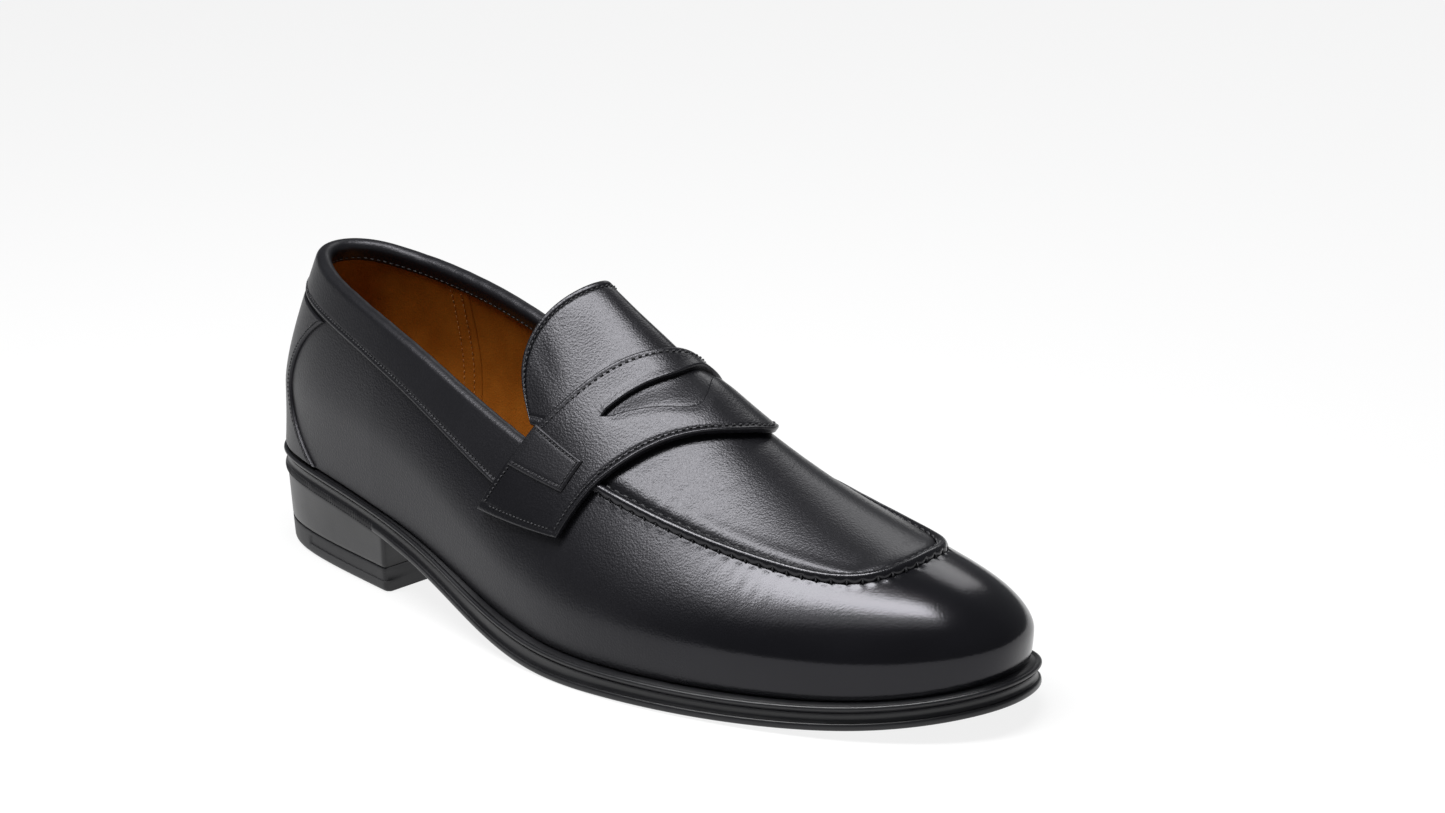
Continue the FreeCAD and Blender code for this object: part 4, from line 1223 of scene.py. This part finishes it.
U = outline_stations()
UX, UY = outline(U)
UNX, UNY = outline_inward(U)
US = lengths(np.stack([UX, UY], -1), 0)


def sole_sweep(name, profile, material):
    """profile: list of (inset, height) pairs; both may be arrays along the outline."""
    loops = []
    for d, z in profile:
        d, z = arrays(d, z + 0 * UX)
        loops.append(np.stack([UX + UNX * d, UY + UNY * d, z], -1))
    return tube(name, np.stack(loops, 1), material, True, 40)


def make_welt():
    t = topside(UX)
    bead = [(0.80 - 0.80 * math.cos(a), t - 0.78 + 0.80 * math.sin(a))
            for a in np.radians(np.arange(-50, 126, 16))]
    top = [(1.75, t - 0.42), (2.2, t - 0.18), (3.2, t + 0.12), (4.6, t + 0.42), (6.2, t + 0.4),
           (7.4, t + 0.25), (7.4, t - 2.35), (1.15, t - 2.35), (0.85, t - 1.9)]
    return sole_sweep("welt_rubber", bead + top, RUBBER)


def make_side_band():
    t, b = topside(UX), underside(UX)
    m = 0.5 * (t + b)
    prof = [(0.85, t - 2.2), (1.2, t - 2.6), (1.42, t - 3.2), (1.5, m + 0.2), (1.45, m - 0.5),
            (1.25, b + 2.9), (0.95, b + 2.45), (0.85, b + 2.3), (7, b + 2.3), (7, t - 2.2)]
    return sole_sweep("side_band_rubber", prof, RUBBER)


def make_outsole_edge():
    b = underside(UX)
    side = (UX > 7) & (UX < 71)
    rib_pitch = 1.3
    comb = (0.5 + 0.5 * np.cos(US * math.tau / rib_pitch)) ** 0.7
    ribs = 0.5 * fade(UX, 7, 11) * (1 - fade(UX, 69, 72)) * comb
    ribs = np.where(side, ribs, 0)
    lip = 0.35 * (1 - fade(UX, 74, 84))
    prof = [(0.85, b + 2.4), (0.45 + lip, b + 2.3), (0.18 + lip + ribs, b + 2.05),
            (0.05 + lip + ribs, b + 1.6), (lip + ribs, b + 1.2), (lip + ribs, b + 0.8),
            (0.10 + lip + ribs, b + 0.45), (0.35 + lip * 0.5, b + 0.15), (0.8, b + 0.02),
            (1.6, b), (3.2, b), (3.2, b + 2.3)]
    return sole_sweep("outsole_edge_rubber", prof, RUBBER)


def make_outsole_bottom():
    def low(x, y, e):
        b = underside(x)
        fore = fade(x, 168, 172) * fade(e, 5.0, 6.0)
        wave = x + 3.0 * np.cos((y + 4) * math.tau / 22.0)
        groove = fade(np.cos(wave * math.tau / 5.0), 0.55, 0.85)
        rim = bump(e, 4.2, 0.6) * fade(x, 84, 90)
        return b + 0.02 + 0.75 * fore * groove + 0.45 * rim
    return plan_slab("outsole_bottom_rubber", 3.0, lambda x, y, e: underside(x) + 2.25, low,
                     TREAD, 420, 110)


def heel_ring(z, inset):
    """Closed heel outline at height z: round the back, then across the breast."""
    n_side, n_front, corner_r = 210, 26, 1.6
    front = BREAST_X + BREAST_LEAN * z
    u = np.linspace(-8, 8, 3201)
    x, y = outline(u)
    nx, ny = outline_inward(u)
    x, y = x + nx * inset, y + ny * inset
    ok = np.nonzero(x < front - 0.5 + 0.03 * y)[0]
    x, y = x[ok[0]:ok[-1] + 1], y[ok[0]:ok[-1] + 1]
    s = lengths(np.stack([x, y], -1), 0)
    t = np.linspace(corner_r, s[-1] - corner_r, n_side)
    side = np.stack([np.interp(t, s, x), np.interp(t, s, y)], -1)
    a, b = np.array([x[-1], y[-1]]), np.array([x[0], y[0]])
    length = np.linalg.norm(b - a)
    f = np.linspace(corner_r / length, 1 - corner_r / length, n_front)[:, None]
    brk = a + (b - a) * f

    def corner(p, c, q):
        k = np.linspace(0, 1, 6)[1:-1, None]
        return (1 - k) ** 2 * p + 2 * k * (1 - k) * c + k * k * q
    return np.concatenate([side, corner(side[-1], a, brk[0]), brk,
                           corner(brk[-1], b, side[0])])


def heel_mesh(name, levels, shape, material):
    """levels: (height as a function of x, extra inset); shape: depth pressed inwards."""
    middle = np.array([38.0, 4.5])
    base_x = heel_ring(18.0, 1.4)[:, 0]
    rings = []
    for z_of, extra in levels:
        z = z_of(base_x)
        inset = 3.0 + (0.6 - 3.0) * (z + 1.0) / 32.0 + extra
        a = heel_ring(float(np.mean(z)), float(np.mean(inset)))
        if shape:
            a = a - unit(a - middle) * np.asarray(shape(a, z))[..., None]
        rings.append(np.concatenate([a, z[:, None]], 1))
    return tube(name, np.stack(rings), material, False, 40)


def make_heel_block():
    def level(f):
        return lambda x: LIFT + 0.15 + (underside(x) - 0.08 - LIFT - 0.15) * f
    steps = ((0.0, 3.2), (0.0, 0.45), (0.012, 0.2), (0.04, 0.04), (0.1, 0), (0.3, 0), (0.5, 0),
             (0.7, 0), (0.9, 0), (0.965, 0.0), (0.985, 0.12), (1.0, 0.35), (1.0, 3.2))
    return heel_mesh("heel_block_rubber", [(level(f), e) for f, e in steps], None, RUBBER)


def recess(a, z):
    """Shallow panel on both long sides of the lift, open at the breast."""
    x = a[:, 0]
    zone = fade(x, 27.5, 28.2) * (1 - fade(x, 74.5, 75.0)) * (np.abs(a[:, 1] - 4.5) > 18)
    return 0.45 * zone * ((z > 4.0) & (z < 7.15))


def make_heel_lift():
    lv = [((lambda x, z=z: z + 0 * x), e) for z, e in (
        (0.55, 9.0), (0.55, 6.6), (0.0, 6.3), (0.0, 3.0), (0.03, 1.6), (0.18, 1.0), (0.5, 0.5),
        (1.0, 0.18), (1.7, 0.0), (2.8, 0), (3.9, 0), (4.1, 0), (5.6, 0), (7.1, 0), (7.3, 0),
        (8.3, 0.0), (8.52, 0.12), (8.66, 0.4), (8.66, 3.2))]
    return heel_mesh("heel_top_lift_rubber", lv, recess, TREAD)


keep(make_wall(), SHOE, "black_leather", "side_wall")
keep(make_backstay(), SHOE, "black_leather", "backstay")
collar = keep(make_collar(), SHOE, "black_leather", "collar", "collar_cord")
keep(make_ridge(), SHOE, "black_leather", "moc_seam")
keep(apron_layer("apron_leather", 0.9, 0.3, -UPPER, UPPER, APRON, apron_detail),
     SHOE, "black_leather", "apron")
keep(apron_layer("apron_lining_leather", 1.5, -0.05, -2.1, LINING_THICK, TAN, lambda xy, d: 0 * d),
     SHOE, "tan_leather", "apron_lining")
keep(make_strap(), SHOE, "black_leather", "saddle_strap")
keep(make_slot_panel(), SHOE, "black_leather", "strap_backing")
keep(make_tab("strap_tab_outer_leather", TAB_OUT), SHOE, "black_leather", "strap_tab_outer")
keep(make_tab("strap_tab_inner_leather", TAB_IN), SHOE, "black_leather", "strap_tab_inner")


def bend(ob):
    """Bakes the object's transform into its mesh; nothing turns."""
    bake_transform(ob)
    return ob


tongue = bend(make_tongue())
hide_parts("tongue", "tongue_root")
tongue_in = bend(make_tongue_lining())
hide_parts("tongue_lining")

for name, w0, w1, thicker in (("heel_lining", -2.66, 2.66, 0.35),
                              ("quarter_lining_outer", 2.58, 5.82, 0.0),
                              ("quarter_lining_inner", 14.18, 17.42, 0.0),
                              ("vamp_lining", 5.78, 14.22, 0.0)):
    keep(lining(name + "_leather", w0, w1, thicker), SHOE, "tan_leather", name)
for w in (2.56, 2.42, -2.56, -2.42):
    lining_seam(w, -3.42)
keep(make_sock(), SHOE, "tan_leather", "sock_liner")

keep(make_welt(), SHOE, "rubber", "welt")
keep(make_side_band(), SHOE, "rubber", "midsole")
keep(make_outsole_edge(), SHOE, "rubber", "outsole")
keep(make_outsole_bottom(), SHOE, "rubber")
keep(make_heel_block(), SHOE, "rubber", "heel_block")
keep(make_heel_lift(), SHOE, "rubber", "heel_top_lift")

keep(make_threads("stitches_black", "black", THREAD), SHOE, "black_leather")
tongue_thread = bend(make_threads("stitches_tongue", "tongue", THREAD))
keep(make_threads("stitches_lining", "tan", THREAD_TAN), SHOE, "tan_leather")

for names, mat in (
        (("heel_nail_1", "heel_nail_2", "heel_nail_3", "heel_nail_4", "shank"), STEEL),
        (("bottom_filler",), CORK),
        (("insole_board", "heel_counter", "toe_puff"), BOARD),
        (("footbed_foam",), FOAM)):
    for n in names:
        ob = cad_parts[n]
        ob.data.materials.clear()
        ob.data.materials.append(mat)


# ---- floor, light, camera ----------------------------------------------------------------
def make_floor():
    bm = bmesh.new()
    bmesh.ops.create_grid(bm, x_segments=8, y_segments=8, size=60.0)
    me = bpy.data.meshes.new("floor")
    bm.to_mesh(me)
    bm.free()
    ob = bpy.data.objects.new("floor", me)
    ob.location.z = -0.00005      # just under the heel lift, so the faces don't coincide
    bpy.context.scene.collection.objects.link(ob)
    m, _, b = material("floor_white", (0.15, 0.15, 0.15), 0.8, spec=0.0)
    b.inputs["Emission Color"].default_value = (1.0, 1.0, 1.0, 1)
    b.inputs["Emission Strength"].default_value = 0.85
    me.materials.append(m)


def area(name, target, direction, distance, size, power, size_y=None, turn=0.0):
    """Panel light that looks at target from a direction; turn is about its own axis."""
    d = Vector(direction).normalized()
    light = bpy.data.lights.new(name, "AREA")
    light.shape = "RECTANGLE" if size_y else "SQUARE"
    light.size = size
    if size_y:
        light.size_y = size_y
    light.energy = power
    ob = bpy.data.objects.new(name, light)
    ob.location = Vector(target) + d * distance
    aim = (-d).to_track_quat("-Z", "Y")
    ob.rotation_euler = (aim @ Quaternion((0, 0, 1), math.radians(turn))).to_euler()
    bpy.context.scene.collection.objects.link(ob)


make_floor()
world = bpy.data.worlds.new("studio")
world.use_nodes = True
world.node_tree.nodes["Background"].inputs["Color"].default_value = (0.93, 0.95, 1.0, 1)
world.node_tree.nodes["Background"].inputs["Strength"].default_value = 0.14
bpy.context.scene.world = world
area("key_core", (0.01, 0, 0.05), (-0.035, -0.165, 0.70), 0.72, 0.19, 7.0, 0.68, -28)
area("key_wide", (0.01, 0, 0.05), (-0.05, -0.20, 0.70), 0.78, 0.50, 1.8, 0.85, -28)
area("back_panel", (0.03, 0, 0.05), (-0.27, 0.75, 0.60), 1.5, 0.5, 1.8)


def make_camera():
    place = (0.73281, -0.80388, 0.40327)
    az, el, roll = (math.radians(a) for a in (40.574757, 16.98083, -0.192376))
    back = Vector((math.sin(az) * math.cos(el), -math.cos(az) * math.cos(el), math.sin(el)))
    right = Vector((math.cos(az), math.sin(az), 0.0))
    up = back.cross(right)
    r2 = right * math.cos(roll) + up * math.sin(roll)
    u2 = up * math.cos(roll) - right * math.sin(roll)
    cam = bpy.data.cameras.new("camera")
    cam.sensor_width = 36.0
    cam.lens = 90.685
    cam.clip_start = 0.01
    ob = bpy.data.objects.new("camera", cam)
    turned = Matrix((r2, u2, back)).transposed().to_4x4()
    ob.matrix_world = Matrix.Translation(place) @ turned
    bpy.context.scene.collection.objects.link(ob)
    bpy.context.scene.camera = ob


make_camera()
bpy.context.scene.view_settings.view_transform = "Standard"

bpy.context.view_layer.update()
